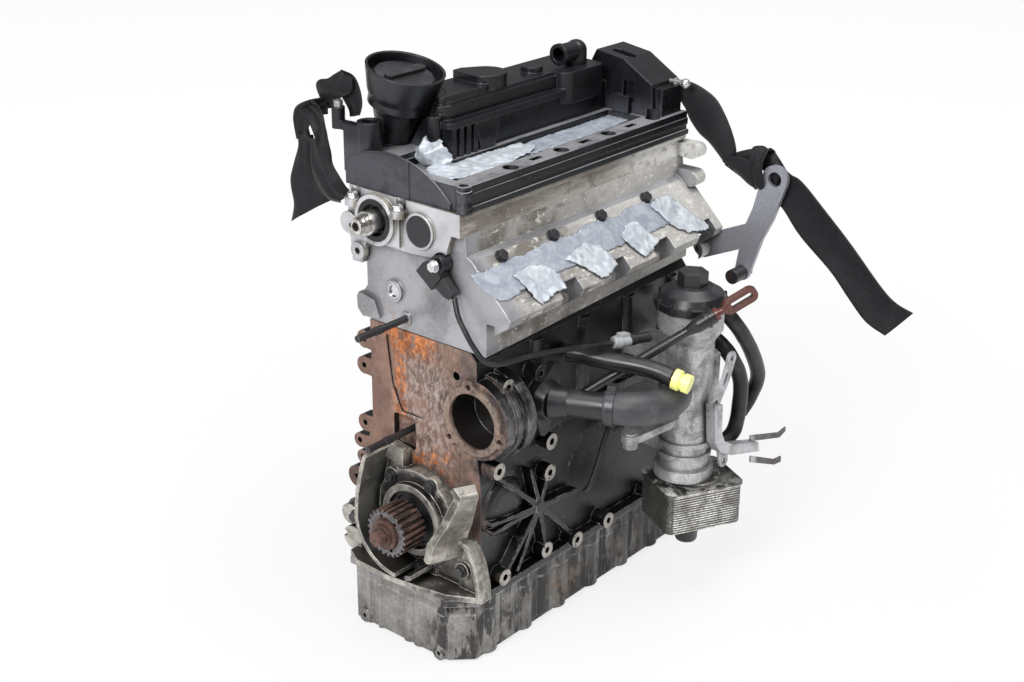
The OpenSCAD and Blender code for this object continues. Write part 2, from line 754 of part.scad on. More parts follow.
module carrier_front_profile() {
    polygon([[100, cover_z], [104, carrier_z - 11], [98, carrier_z - 62], [84, carrier_z - 62],
        [76, carrier_z - 33], [6, carrier_z - 33], [-40, carrier_z - 29], [-50, carrier_z],
        [carrier_lip_y, carrier_z], [carrier_lip_y, cover_z]]);
}

module cam_carrier() {
    color("#a8a18d")
    difference() {
        union() {
            translate([0, carrier_lip_y, carrier_z])
                cube([head_l, 100 - carrier_lip_y, carrier_h - flat_gap]);
            translate([0, carrier_lip_y - 3, cover_z - 5])
                cube([head_l, 6, 5 - flat_gap]);
            translate([front_plate_x, 0, 0]) along_x(-front_plate_x) carrier_front_profile();
            // bearing housing of the driven camshaft
            translate([front_plate_x - 4, 0, 0]) along_x(5)
                polygon([[89, carrier_z - 33], [89, cap_bolt_z], [22, cap_bolt_z], [22, carrier_z - 29]]);
            translate([cap_front_x, cam_exhaust_y, cam_z]) rod_x(cam_seal_r + 5, 12);
            translate([front_plate_x - 3, cam_intake_y, cam_z]) rod_x(cam_plug_r + 3, 5);
            for (p = cap_bolts) translate([p[0], p[1], cap_bolt_z - 8]) cylinder(r = 9, h = 8);
            // left ear and lower lug with their holes
            translate([front_plate_x - 4, 99, carrier_z - 17]) rod_x(13, 10);
            translate([front_plate_x - 3, 88, carrier_z - 48]) rod_x(10, 8);
            // ears on the rear face
            translate([head_l - 12, 0, 0]) along_x(20) hull() {
                translate([-82, carrier_z + 9]) circle(r = 9);
                translate([-62, carrier_z + 1]) square([8, 16]);
            }
        }
        cam_tunnels();
        translate([cap_front_x - 1, cam_exhaust_y, cam_z]) rod_x(cam_seal_r + flat_gap, 18);
        translate([front_plate_x - 4, cam_intake_y, cam_z]) rod_x(cam_plug_r + flat_gap, 6);
        translate([front_plate_x - 4, cam_intake_y, cam_z]) rod_x(cam_bore_r, 20);
        translate([-13, cam_exhaust_y, cam_z]) rod_x(cam_bore_r + 0.4, 14);
        for (p = cap_bolts) translate([p[0], p[1], cap_bolt_z]) cylinder(r = 9, h = 20);
        translate([front_plate_x - 5, 95, carrier_z - 20]) rod_x(4, 14, $fn = 24);
        translate([front_plate_x - 4, 88, carrier_z - 48]) rod_x(4, 13, $fn = 24);
        translate([head_l - 2, -82, carrier_z + 9]) rod_x(4, 12, $fn = 24);
        for (p = cap_bolts) translate([p[0], p[1], cap_bolt_z - 7])
            cylinder(r = shank_r + hole_gap, h = 8, $fn = 24);
        // clearance round the sensor's bolt eye
        translate([front_plate_x - 5, sensor_bolt_y, sensor_bolt_z]) rod_x(12, 20);
    }
}

cap_bolts = [[-13, 22], [-13, 90]];
cap_bolt_z = carrier_z + 14.5;

module carrier_bolts() {
    color("#8f8d86")
    for (p = cap_bolts) translate([p[0], p[1], cap_bolt_z + flat_gap]) {
        hex_bolt(11, 6, shank_r, 6);
        cylinder(r = 7.5, h = 1.6);
    }
}

// Egg-shaped cam seen along the shaft
module cam_lobe(a) {
    rotate([a, 0, 0]) along_x(12) {
        circle(r = 13.5);
        translate([6, 0]) circle(r = 9);
        web([0, 0], [6, 0], 13, 8.5);
    }
}

module cam_lobes(first) {
    for (i = [0 : cylinders - 1], s = [-1, 1])
        translate([bore_x[i] + lobe_spread * s - 6, 0, 0]) cam_lobe(first + 90 * i);
}

module exhaust_camshaft() {
    color("#b5b2aa")
    translate([0, cam_exhaust_y, cam_z]) difference() {
        union() {
            translate([-17, 0, 0]) rod_x(cam_journal_d / 2, cam_end_x + 17);
            cam_lobes(-90);
            translate([-30, 0, 0]) rod_x(13.5, 14);
            translate([-44, 0, 0]) rod_x(9, 15);
            translate([-38, 0, 0]) rod_x(10.5, 9);
        }
        translate([-45, 0, 0]) rod_x(5, 24);
        translate([-45, 7, -2.5]) cube([9, 6, 5]);
    }
}

module intake_camshaft() {
    color("#b5b2aa")
    translate([0, cam_intake_y, cam_z]) {
        translate([4, 0, 0]) rod_x(cam_journal_d / 2, cam_end_x - 4);
        cam_lobes(0);
    }
}

// Angle from the middle of an involute tooth to its flank, at radius r
function roll(a) = tan(a) * 180 / PI - a;
function flank(r, base_r, half) = half + roll(20) - roll(acos(min(1, base_r / r)));

module gear_profile(teeth, pitch_r) {
    m = 2 * pitch_r / teeth;
    base_r = pitch_r * cos(20);
    half = (90 - 5) / teeth;
    steps = [base_r, base_r + 0.5 * m, base_r + m, base_r + 1.4 * m, pitch_r + 0.9 * m];
    root_r = pitch_r - 1.15 * m;
    polygon([for (k = [0 : teeth - 1]) let (mid = 360 * k / teeth) each concat(
        [let (a = mid - flank(base_r, base_r, half)) [root_r * cos(a), root_r * sin(a)]],
        [for (r = steps) let (a = mid - flank(r, base_r, half)) [r * cos(a), r * sin(a)]],
        [for (j = [4 : -1 : 0]) let (a = mid + flank(steps[j], base_r, half))
            [steps[j] * cos(a), steps[j] * sin(a)]],
        [let (a = mid + flank(base_r, base_r, half)) [root_r * cos(a), root_r * sin(a)]])]);
}

module cam_gear(y) {
    translate([cam_gear_x, y, cam_z]) difference() {
        along_x(cam_gear_w) gear_profile(cam_gear_teeth, cam_pitch / 2);
        translate([-1, 0, 0]) rod_x(cam_journal_d / 2 + flat_gap, cam_gear_w + 2);
    }
}

module exhaust_cam_gear() {
    color("#7d7a75") cam_gear(cam_exhaust_y);
}

module intake_cam_gear() {
    color("#7d7a75") cam_gear(cam_intake_y);
}

module cam_seal() {
    color("#1f1f20")
    translate([cap_front_x - 0.5, cam_exhaust_y, cam_z]) difference() {
        rod_x(cam_seal_r, 12);
        translate([-1, 0, 0]) rod_x(18, 8);
        translate([-1, 0, 0]) rod_x(13.5 + crank_seal_lip, 14);
    }
}

module cam_end_plug() {
    color("#2b2a2c")
    translate([front_plate_x - 3.5, cam_intake_y, cam_z]) rod_x(cam_plug_r, 5);
}

// ---------------------------------------------------------------- cover

cover_left_y = 118;
cover_right_y = -64;
box_z = rail_z + box_rise;
valley_z = rail_z - 8.5;
shelf_z = box_z - 6;
ledge_z = box_z - 25.5;
rear_box_x = 352;
cover_bolt_x = [88, 176, 264, 352];
cover_bolt_y = cover_right_y + 13;
funnel_c = [60, 76, box_z + 27.5];
tower = [15, 89];
lug_c = [12, 134];
neck_foot_r = 14;
neck_bore_r = neck_d / 2 - 3;

// Rectangle with round corners
module round_rect(l, w, r) {
    translate([r, 0]) square([l - 2 * r, w]);
    translate([0, r]) square([l, w - 2 * r]);
    for (x = [r, l - r], y = [r, w - r]) translate([x, y]) circle(r = r);
}

module cover_body() {
    // rail plate with its stepped edge
    translate([-2, cover_right_y, cover_z + flat_gap])
        cube([head_l + 4, 100 - cover_right_y, rail_h - flat_gap]);
    translate([-2, cover_right_y - 3, cover_z + flat_gap]) cube([head_l + 4, 8, 6]);
    translate([-2, cover_right_y - 1.5, cover_z + 12]) cube([head_l + 4, 8, 8]);
    // hood over the cams, low under the filler neck
    translate([8, 54, cover_z + 10]) linear_extrude(24) round_rect(head_l - 60, 62, 8);
    translate([66, 20, cover_z + 10]) linear_extrude(52) round_rect(head_l - 74, 98, 14);
    translate([74, 28, cover_z + 10]) linear_extrude(58) round_rect(head_l - 108, 84, 12);
    // central raised box, its lid and the round dome at the lid's end
    translate([66, 25, cover_z + 10]) linear_extrude(box_z - cover_z - 20) round_rect(270, 62, 16);
    translate([69, 28, box_z - 12]) linear_extrude(6) round_rect(264, 56, 14);
    translate([68, 0, shelf_z - eps]) linear_extrude(6) offset(6)
        polygon([[6, 76], [6, 36], [70, 34], [98, 46], [98, 76]]);
    translate([150, 0, shelf_z - eps]) linear_extrude(15) hull() {
        translate([14, 50]) circle(r = 24);
        translate([-6, 62]) square([14, 20]);
    }
    translate([246, 50, shelf_z - eps]) cylinder(r = 13, h = 7);
    // ledge, its upright ribs, the wide gusset and the block that carries the vent elbow
    translate([62, 13, ledge_z - 7]) linear_extrude(7) round_rect(276, 24, 8);
    for (x = [68, 80, 92, 104, 130]) translate([x, 14, valley_z]) cube([5, 14, ledge_z - valley_z - 1]);
    translate([0, 24, 0]) rotate([90, 0, 0]) linear_extrude(10) polygon([[118, valley_z],
        [136, valley_z], [146, ledge_z - 12], [146, ledge_z - 5], [108, ledge_z - 5], [108, ledge_z - 12]]);
    translate([262, 10, ledge_z - 18]) linear_extrude(shelf_z - ledge_z + 18) round_rect(76, 52, 12);
    // rear housing with its sloping shoulders
    translate([rear_box_x, 0, 0]) along_x(54) polygon([[42, cover_z + 20], [42, box_z - 9],
        [35, box_z + 4], [-6, box_z - 2], [-48, box_z - 27], [-51, cover_z + 20]]);
    translate([rear_box_x + 8, -58, cover_z + 10]) cube([40, 16, 52]);
    translate([rear_box_x - 8, -20, valley_z]) cube([10, 24, 30]);
    // towers, corner post and the lug outside the left tower
    translate([4, -58, cover_z + flat_gap]) cylinder(r = 9, h = rail_h + 1);
    translate([tower[0], tower[1], cover_z + 10]) cylinder(r = 14, h = 59);
    translate([tower[0] - 12, tower[1], cover_z + 10]) cube([12, 29, 54]);
    translate([62, 36, cover_z + 10]) cylinder(r = 9, h = 65);
    translate([60, 34, cover_z + 10]) cube([14, 12, 58]);
    translate([lug_c[0], lug_c[1], cover_z + 54]) cylinder(r = 7.5, h = 24);
    translate([lug_c[0] - 5, tower[1] + 4, cover_z + 54]) cube([10, lug_c[1] - tower[1] - 4, 9]);
    for (x = [170, 290]) translate([x, 108, cover_z + 10]) cylinder(r = 12, h = 56);
    in_funnel() translate([0, 0, -100]) cylinder(r = 19, h = 14);
}

module valve_cover() {
    color("#2a2a2d")
    difference() {
        cover_body();
        translate([14, cover_right_y + 26, valley_z]) cube([head_l - 70, 50, rail_z - valley_z + 1]);
        for (x = cover_bolt_x) {
            translate([x, cover_bolt_y, cover_z + 18]) cylinder(r = 9, h = 20);
            translate([x, cover_bolt_y, cover_z + 6]) cylinder(r = shank_r + hole_gap, h = 20, $fn = 24);
        }
        for (x = [132, 220, 308]) translate([x - 9, cover_bolt_y - 3, rail_z - 6]) cube([18, 7, 8]);
        translate([4, -58, cover_z + 12]) cylinder(r = 5, h = rail_h);
        translate([14, cover_right_y + 40, valley_z]) cube([52, 76, rail_z - valley_z + 1]);
        translate([tower[0], tower[1], cover_z + 44]) cylinder(r = 9, h = 40);
        translate([62, 36, cover_z + 54]) cylinder(r = 5, h = 40);
        translate([lug_c[0], lug_c[1], cover_z + 60]) cylinder(r = shank_r + hole_gap, h = 20);
        // seat and passage of the filler neck
        in_funnel() translate([0, 0, -86]) cylinder(r1 = 21, r2 = 34, h = 44);
        in_funnel() translate([0, 0, -112]) cylinder(r = neck_foot_r + hole_gap, h = 40);
        in_funnel() translate([0, 0, -46]) cylinder(r = funnel_d / 2 + 3, h = 60);
        // room over the two cam gears
        translate([cam_gear_x - 2, cam_intake_y - 20, cover_z - 1])
            cube([cam_gear_w + 4, cam_pitch + 40, 6]);
        // oval socket, arched window and step of the rear housing
        translate([372, 8, box_z - 9]) linear_extrude(30) hull() {
            translate([0, -9]) circle(r = 7);
            translate([0, 9]) circle(r = 7);
        }
        translate([rear_box_x - 1, 0, 0]) along_x(9) hull() {
            translate([-14, cover_z + 46]) circle(r = 8);
            translate([-22, cover_z + 50]) square([16, 16]);
        }
        translate([vent_x, vent_y, shelf_z - 20]) cylinder(r = 9, h = 30);
        translate([387, -57, ball_z]) rod_y(ball_r_shank + hole_gap, 10, $fn = 24);
    }
}

ball_r_shank = 3;
ball_z = cover_z + 66.5;

module belt_guard() {
    guard_z = cover_z + flat_gap;
    color("#333338")
    difference() {
        union() {
            translate([-6, 0, 0]) intersection() {
                along_x(4 - flat_gap) translate([42, cover_z - 74]) circle(r = 120, $fn = 96);
                translate([-1, 12, guard_z]) cube([8, 95, 80]);
            }
            translate([-4.5, 0, 0]) intersection() {
                along_x(2.5 - flat_gap) translate([42, cover_z - 74]) circle(r = 120, $fn = 96);
                translate([-1, -46, guard_z]) cube([8, 60, 80]);
            }
        }
        translate([-8, cam_exhaust_y, cam_z]) rod_x(cam_seal_r + 6, 10);
    }
}

module cover_bolts() {
    color("#3a3a3c")
    for (x = cover_bolt_x) translate([x, cover_bolt_y, cover_z + 18 + flat_gap]) {
        hex_bolt(10, 6, shank_r, 10);
        cylinder(r = 7.5, h = 1.4);
    }
    color("#b4b4b6") translate([lug_c[0], lug_c[1], cover_z + 78 + flat_gap]) hex_bolt(10, 7, shank_r, 14);
}

module ball_stud() {
    color("#8e8f93")
    translate([387, -58 - flat_gap, ball_z]) {
        translate([0, 8, 0]) rod_y(ball_r_shank, 18);
        rod_y(5.5, 2);
        translate([0, -14, 0]) sphere(r = 6);
    }
}

module in_funnel() {
    translate(funnel_c) rotate([neck_tilt, 0, 0]) children();
}

module filler_neck() {
    color("#28282b")
    in_funnel() rotate_extrude($fn = 72) polygon([
        [funnel_d / 2, 0], [funnel_d / 2 - 3, 0], [funnel_d / 2 - 6, -14], [neck_d / 2 + 4, -19],
        [neck_bore_r, -19], [neck_bore_r, -50], [neck_foot_r - 4, -84], [neck_foot_r - 4, -108],
        [neck_foot_r, -108], [neck_foot_r, -85], [neck_foot_r + 5, -84], [neck_d / 2 + 4, -47],
        [neck_d / 2 + 10, -43], [neck_d / 2 + 10, -35], [funnel_d / 2 - 6, -27],
        [funnel_d / 2 - 3, -13]
    ]);
}

module oil_filler_cap() {
    color("#1e1e20")
    in_funnel() {
        translate([0, 0, -12]) cylinder(r = 33, h = 5);
        translate([0, 0, -14]) cylinder(r = 28, h = 3);
        translate([0, 0, -32]) cylinder(r = neck_bore_r - 0.1, h = 19);
        translate([0, 0, -7 - eps]) linear_extrude(5) hull() {
            translate([-24, 0]) circle(r = 6);
            translate([24, 0]) circle(r = 6);
        }
    }
}

vent_x = 312;
vent_y = 36;
vent_z = box_z + 9.5;

module vent_elbow() {
    color("#252528")
    difference() {
        translate([vent_x, vent_y, vent_z]) {
            translate([0, 0, shelf_z + flat_gap - vent_z]) cylinder(r = 13, h = vent_z - shelf_z);
            sphere(r = 13);
            translate([-34, 0, 0]) rod_x(11.5, 34);
            translate([-34, 0, 0]) rod_x(13, 5);
        }
        translate([vent_x - 35, vent_y, vent_z]) rod_x(8.5, 30);
    }
}

// ---------------------------------------------------------------- small parts

module intake_bolts() {
    color("#3a3a3c")
    for (x = bore_x) intake_face(x - 16, 6, flat_gap) {
        hex_bolt(11, 7, shank_r, 10);
        cylinder(r = 7.5, h = 1.6);
    }
}

module stud(z, tip_x, root_x) {
    translate([tip_x, stud_y, z]) rod_x(stud_r, root_x - tip_x);
    translate([tip_x + 26, stud_y, z]) rod_x(stud_r + 0.8, 12);
}

module upper_stud() {
    color("#3c3f40") stud(upper_stud_z, -78, 12);
}

module lower_stud() {
    color("#3c3f40") stud(lower_stud_z, -68, 14);
}

module cam_sensor() {
    color("#1b1b1d")
    difference() {
        translate([0, 0, sensor_bolt_z]) {
            translate([-16, sensor_bolt_y, 0]) rod_x(10, 16 - flat_gap);
            translate([-17, 0, 0]) along_x(15)
                polygon([[-7, -13], [-17, -1], [-30, 6], [-42, -13], [-29, -30]]);
            translate([-15, 0, 0]) along_x(11)
                polygon([[-32, -26], [-43, -13], [-58, -29], [-52, -36], [-44, -34]]);
        }
        translate([-20, sensor_bolt_y, sensor_bolt_z]) rod_x(shank_r + hole_gap, 22);
    }
}

module sensor_bolt() {
    color("#d5d7da")
    translate([-19 - flat_gap, sensor_bolt_y, sensor_bolt_z]) rotate([0, -90, 0]) {
        hex_bolt(10, 6, shank_r, 28);
        cylinder(r = 7, h = 1.6);
    }
}

sensor_route = [[-11, -58.5, 279], [-15, -66, 266], [-16, -76, 253], [-16, -88, 238], [-13, -102, 224],
    [2, -111, 219], [54, -110, 211], [101, -115, 204], [158, -124, 194], [177, -130, 192]];

module sensor_cable() {
    color("#202022") sweep(sensor_route, 5, sensor_cable_d / 2, 8);
}

connector_tilt = -27;

module cable_connector() {
    color("#8c8e90")
    translate([178, -130, 192]) rotate([0, 0, connector_tilt]) {
        rod_x(7, 27);
        translate([4, 0, 0]) rod_x(8, 6);
        translate([27 - eps, 0, 0]) rod_x(6, 20);
        translate([6, -4, 5]) cube([14, 8, 5]);
    }
}

outlet_turn = -64.4;
pipe_l = 84;
pipe_r = 16;
outlet_lugs = [[114, 170], [96, 103]];

module in_outlet() {
    translate([outlet_x, outlet_face_y - 10, outlet_z]) rotate([0, 0, outlet_turn]) children();
}

module coolant_outlet() {
    color("#161618")
    difference() {
        union() {
            translate([0, outlet_face_y - flat_gap, 0]) along_y(10) hull() {
                translate([outlet_x, outlet_z]) circle(r = outlet_boss_r - 7);
                for (l = outlet_lugs) translate(l) circle(r = 9);
            }
            translate([outlet_x, outlet_face_y - 8, outlet_z]) rotate([90, 0, 0])
                cylinder(r1 = 25, r2 = 20, h = 12);
            in_outlet() translate([5, 0, 0]) rotate([0, 90, 0]) cylinder(r1 = 21, r2 = 16.5, h = 20);
            in_outlet() rod_x(pipe_r, pipe_l);
        }
        in_outlet() translate([30, 0, 0]) rod_x(pipe_r - 2.5, pipe_l);
    }
}

coolant_route = [[127, outlet_face_y - 70, outlet_z], [134, outlet_face_y - 84, outlet_z],
    [142, outlet_face_y - 96, outlet_z], [158, outlet_face_y - 108, outlet_z - 1],
    [182, outlet_face_y - 114, outlet_z - 3], [206, -198, 133], [226, -187, 131], [243, -173, 131]];

module coolant_hose() {
    color("#222224")
    difference() {
        sweep(coolant_route, 4, coolant_hose_d / 2, 12);
        in_outlet() translate([-1, 0, 0]) rod_x(pipe_r + 0.05, pipe_l + 2);
    }
}

module hose_clamp() {
    color("#3b3b3d")
    in_outlet() translate([70, 0, 0]) difference() {
        union() {
            rod_x(coolant_hose_d / 2 + 2.4, 9);
            translate([0, -5, coolant_hose_d / 2]) cube([9, 10, 9]);
        }
        translate([-1, 0, 0]) rod_x(coolant_hose_d / 2 + 0.6, 11);
    }
}

water_route = [[150, -deck_half_w - 7, 176], [158, -100, 175], [168, -130, 173], [180, -165, 172],
    [186, -188, 170], [190, -206, 166]];

module water_pipe() {
    color("#19191b")
    sweep(water_route, 5, 10.5, 12);
}

module blanking_plug() {
    color("#c8d233")
    translate([190.4, -207.4, 165.6]) rotate([11, 0, 13]) {
        rod_y(12, 8);
        translate([0, -8 + eps, 0]) rod_y(9, 5);
        translate([0, -12, 0]) rod_y(11, 8);
    }
}

filter_x = 288;
filter_y = -162;
cooler_x = 295;
cooler_y = -171;
cooler_top_z = -6;
filter_cap_z = 213;
body_r = 30;
upper_arm_l = -filter_y - deck_half_w - 7 - flat_gap;
lower_arm_l = -filter_y - skirt_half_w + 6 - flat_gap;

module oil_filter_housing() {
    color("#9a9a98")
    translate([filter_x, filter_y, 0]) {
        translate([0, 0, 8]) cylinder(r = body_r, h = 168);
        translate([0, 0, 172]) cylinder(r1 = body_r, r2 = filter_d / 2 + 3, h = 14);
        translate([0, 0, 186 - eps]) cylinder(r = filter_d / 2 + 3, h = filter_cap_z - 186);
        for (z = [22, 38]) translate([0, 0, z]) cylinder(r = body_r + 3, h = 6);
        translate([0, 0, cooler_top_z + flat_gap]) cylinder(r = body_r + 6, h = 8 - cooler_top_z);
        // arms to the block wall
        translate([-26, 0, 140]) cube([52, upper_arm_l, 16]);
        translate([-6, 0, 104]) cube([12, upper_arm_l, 52]);
        translate([-26, 0, 28]) cube([52, lower_arm_l, 16]);
        translate([-6, 0, 28]) cube([12, lower_arm_l, 28]);
        translate([0, 0, 70]) linear_extrude(9) hull() {
            translate([-100, 10]) circle(r = 11);
            translate([0, -14]) square([10, 34]);
        }
        translate([-100, 10, 62]) cylinder(r = 9, h = 20);
        translate([0, 0, 120]) rotate([0, 0, 40]) cube([40, 16, 14], center = true);
        rotate([0, 0, -33]) translate([body_r - 4, -7, 60]) cube([12, 14, 90]);
    }
}

module oil_filter_cap() {
    color("#232325")
    translate([filter_x, filter_y, filter_cap_z + 0.3]) {
        cylinder(r = filter_d / 2 + 7.5, h = 9);
        translate([0, 0, 9 - eps]) cylinder(r1 = filter_d / 2 + 5, r2 = filter_d / 2 + 1, h = 9);
        translate([0, 0, 18 - 2 * eps]) cylinder(r1 = filter_d / 2 + 1, r2 = filter_d / 2 - 12, h = 8);
        translate([0, 0, 26 - 3 * eps]) cylinder(d = 36, h = 17, $fn = 6);
        for (k = [0 : 11]) rotate(30 * k) translate([filter_d / 2 + 4, -2, 0]) cube([5, 4, 12]);
    }
}

cooler_turn = -28;
cooler_low_z = cooler_top_z - cooler_plates * plate_pitch - 9;

module oil_cooler() {
    color("#a9a9a4")
    translate([cooler_x, cooler_y, cooler_low_z]) rotate([0, 0, cooler_turn]) {
        for (k = [0 : cooler_plates - 1]) translate([0, 0, k * plate_pitch]) {
            linear_extrude(plate_pitch - 1)
                offset(10, $fn = 24) square([cooler_l - 20, cooler_w - 20], center = true);
            linear_extrude(plate_pitch + eps)
                offset(8, $fn = 24) square([cooler_l - 20, cooler_w - 20], center = true);
        }
        translate([0, 0, cooler_plates * plate_pitch]) linear_extrude(3)
            offset(12) square([cooler_l - 20, cooler_w - 20], center = true);
        translate([0, 0, cooler_plates * plate_pitch + 3 - eps]) cylinder(r = 34, h = 6);
    }
}

module cooler_bolt() {
    color("#242426")
    translate([cooler_x, cooler_y, cooler_low_z - flat_gap]) {
        translate([0, 0, -5]) cylinder(r = 26, h = 5);
        translate([0, 0, -15]) cylinder(r = 17, h = 11);
        translate([0, 0, -20]) cylinder(r = 11, h = 6);
    }
}

// ---------------------------------------------------------------- dipstick and hoses

dip_base = [257, -214, 224];
dip_yaw = -45;
dip_pitch = 58;
dip_rod_r = 2;

module in_dipstick() {
    translate(dip_base) rotate([0, 0, dip_yaw]) rotate([0, dip_pitch, 0]) children();
}

module dipstick() {
    color("#6b2a1c")
    in_dipstick() {
        translate([0, 0, 0.3]) cylinder(r = 8, h = 5);
        cylinder(r = 4.5, h = 18);
        translate([0, 0, 16]) linear_extrude(6) hull() {
            translate([-4, 0]) circle(r = 5);
            translate([4, 0]) circle(r = 5);
        }
        translate([0, 5, 20]) rotate([90, 0, 0]) linear_extrude(9) difference() {
            hull() {
                circle(r = 9);
                translate([0, 26]) circle(r = 9);
            }
            hull() {
                translate([0, 2]) circle(r = 3.6);
                translate([0, 25]) circle(r = 3.6);
            }
        }
        translate([0, 0, -150]) cylinder(r = dip_rod_r, h = 151);
    }
}

module dipstick_tube() {
    color("#202022")
    in_dipstick() difference() {
        union() {
            translate([0, 0, -176]) cylinder(d = dip_tube_d, h = 150);
            translate([0, 0, -36]) cylinder(r1 = dip_tube_d / 2, r2 = 9, h = 14);
            translate([0, 0, -22 - eps]) cylinder(r = 9, h = 22);
            translate([0, 0, -12]) cylinder(r = 11, h = 4);
        }
        translate([0, 0, -170]) cylinder(r = dip_rod_r + 1.2, h = 171);
    }
}

breather_outer_route = [[330, -88, 196], [342, -118, 200], [348, -152, 196], [354, -178, 178],
    [387, -184, 135], [423, -178, 84], [430, -166, 48], [420, -158, 24]];
breather_inner_route = [[328, -90, 150], [338, -120, 158], [344, -155, 154], [352, -176, 136],
    [374, -182, 96], [380, -180, 52], [374, -178, 22], [356, -172, 8]];

module breather_hose_outer() {
    color("#1d1d1f") sweep(breather_outer_route, 5, breather_d / 2, 10);
}

module breather_hose_inner() {
    color("#1d1d1f") sweep(breather_inner_route, 5, breather_d / 2, 10);
}

module pipe_bracket() {
    color("#c9c9cc")
    translate([0, -200, 0]) {
        // flat strip with its two eyes, on the filter housing's side
        along_y(3) difference() {
            union() {
                hull() {
                    translate([319, 146]) circle(r = 9);
                    translate([309, 122]) circle(r = 8);
                }
                hull() {
                    translate([309, 122]) circle(r = 8);
                    translate([289, 98]) circle(r = 10);
                }
            }
            translate([319, 146]) circle(r = 3.5, $fn = 24);
            translate([289, 98]) circle(r = 4, $fn = 24);
            hull() {
                translate([310, 128]) circle(r = 2.5, $fn = 24);
                translate([305, 117]) circle(r = 2.5, $fn = 24);
            }
        }
        // broad band that turns round the two hoses
        translate([0, 4, 0]) along_y(13) polygon([[278, 100], [295, 96], [297, 58], [304, 44],
            [324, 32], [384, 12], [388, -2], [322, 18], [296, 32], [284, 48]]);
        along_y(3) difference() {
            hull() {
                translate([315, 12]) circle(r = 9);
                translate([310, 30]) circle(r = 9);
            }
            translate([315, 11]) circle(r = 3.5, $fn = 24);
        }
        // spring prongs
        along_y(2) polygon([[376, 22], [376, 14], [448, -8], [462, -4], [462, 2], [446, 0]]);
        along_y(2) polygon([[380, -8], [380, -17], [440, -44], [456, -46], [456, -38], [440, -36]]);
    }
}

module lifting_eye() {
    color("#6e7175")
    translate([head_l + flat_gap, 0, 0]) along_x(6) difference() {
        union() {
            hull() {
                translate(eye_top) circle(r = 17);
                translate([-180, head_z + 78]) circle(r = 15);
            }
            hull() {
                translate([-180, head_z + 78]) circle(r = 15);
                translate([-168, head_z + 50]) circle(r = 14);
            }
            hull() {
                translate([-168, head_z + 50]) circle(r = 14);
                translate(eye_foot) circle(r = 14);
            }
            hull() {
                translate([-168, head_z + 50]) circle(r = 14);
                translate(eye_leg) circle(r = 10);
            }
        }
        translate(eye_top) circle(r = eye_r);
        translate(eye_foot) circle(r = stud_r + hole_gap);
        translate(eye_leg) circle(r = stud_r + hole_gap);
    }
}

eye_r = 9;

module eye_bolts() {
    color("#3a3a3c")
    translate([head_l + 6 + 2 * flat_gap, 0, 0]) {
        translate([0, eye_foot[0], eye_foot[1]]) rotate([0, 90, 0]) hex_bolt(13, 9, stud_r, 16);
        translate([0, eye_leg[0], eye_leg[1]]) rotate([0, 90, 0]) hex_bolt(13, 9, stud_r, 22);
    }
    translate([head_l - 22, eye_leg[0], eye_leg[1]]) rod_x(9, 22);
}

module port_tape() {
    color("#aab0bd")
    translate([0, flange_top_y, flange_top_z]) rotate([45, 0, 0]) translate([0, 0, flat_gap])
        linear_extrude(1) {
            translate([4, -48]) square([head_l - 62, 34]);
            for (x = bore_x) translate([x, 0]) polygon([[-10, -31], [20, -26], [38, -36], [46, -49],
                [46, -66], [20, -73], [8, -72], [2, -62], [-12, -46]]);
        }
}

module cover_tape() {
    color("#b4bac6")
    translate([16, -37, valley_z + flat_gap]) cube([head_l - 78, 48, 1]);
}

strap_t = 3;

module strap_right() {
    color("#1a1a1c") translate([0, 0, cover_z - 0.5]) {
        ribbon([[[412, -28, 63], [0, 5, -22]], [[412, -62, 45], [0, 12, -20]],
            [[412, -98, 15], [0, 14, -18]], [[412, -138, -11], [0, 8, -20]],
            [[414, -166, -19], [0, 2, -14]]], strap_t);
        ribbon([[[415, -176, -11], [0, 4, -12]], [[417, -196, -13], [0, 8, -13]],
            [[416, -214, -25], [0, 16, -17]], [[414, -250, -59], [0, 17, -19]],
            [[410, -310, -115], [0, 17, -19]], [[406, -372, -169], [0, 17, -19]]], strap_t);
    }
}

module strap_left() {
    color("#1a1a1c") translate([0, 0, cover_z - 0.5]) {
        ribbon([[[18, 112, 75], [16, 0, 0]], [[18, 118, 105], [16, 0, 0]],
            [[22, 152, 115], [20, 0, 0]], [[22, 172, 85], [18, 6, 0]], [[22, 184, 53], [12, 14, 0]],
            [[22, 198, 23], [4, 22, 2]], [[20, 212, -27], [2, 22, 4]], [[20, 222, -75], [0, 22, 4]]],
            strap_t);
        ribbon([[[30, 178, 47], [16, 8, 0]], [[30, 166, 13], [20, 4, 0]],
            [[26, 150, -17], [20, 0, 0]], [[20, 132, -33], [20, 0, 0]], [[20, 116, -37], [18, 0, 0]]],
            strap_t);
    }
}

// ---------------------------------------------------------------- assembly

// The frame's origin is the centre of the flywheel flange's rear face
module place() {
    translate([-crank_rear_x, 0, 0]) children();
}

place() engine_block();
place() bearing_caps();
place() crankshaft();
place() crank_sprocket();
place() crank_bolt();
place() front_seal_flange();
place() front_crank_seal();
place() rear_seal_flange();
place() flange_bolts();
place() piston_1();
place() piston_2();
place() piston_3();
place() piston_4();
place() sump();
place() drain_plug();
place() head_gasket();
place() cylinder_head();
place() core_plug();
place() cam_carrier();
place() carrier_bolts();
place() exhaust_camshaft();
place() intake_camshaft();
place() exhaust_cam_gear();
place() intake_cam_gear();
place() cam_seal();
place() cam_end_plug();
place() valve_cover();
place() belt_guard();
place() cover_bolts();
place() ball_stud();
place() filler_neck();
place() oil_filler_cap();
place() vent_elbow();
place() intake_bolts();
place() upper_stud();
place() lower_stud();
place() cam_sensor();
place() sensor_bolt();
place() sensor_cable();
place() cable_connector();
place() coolant_outlet();
place() coolant_hose();
place() hose_clamp();
place() blanking_plug();
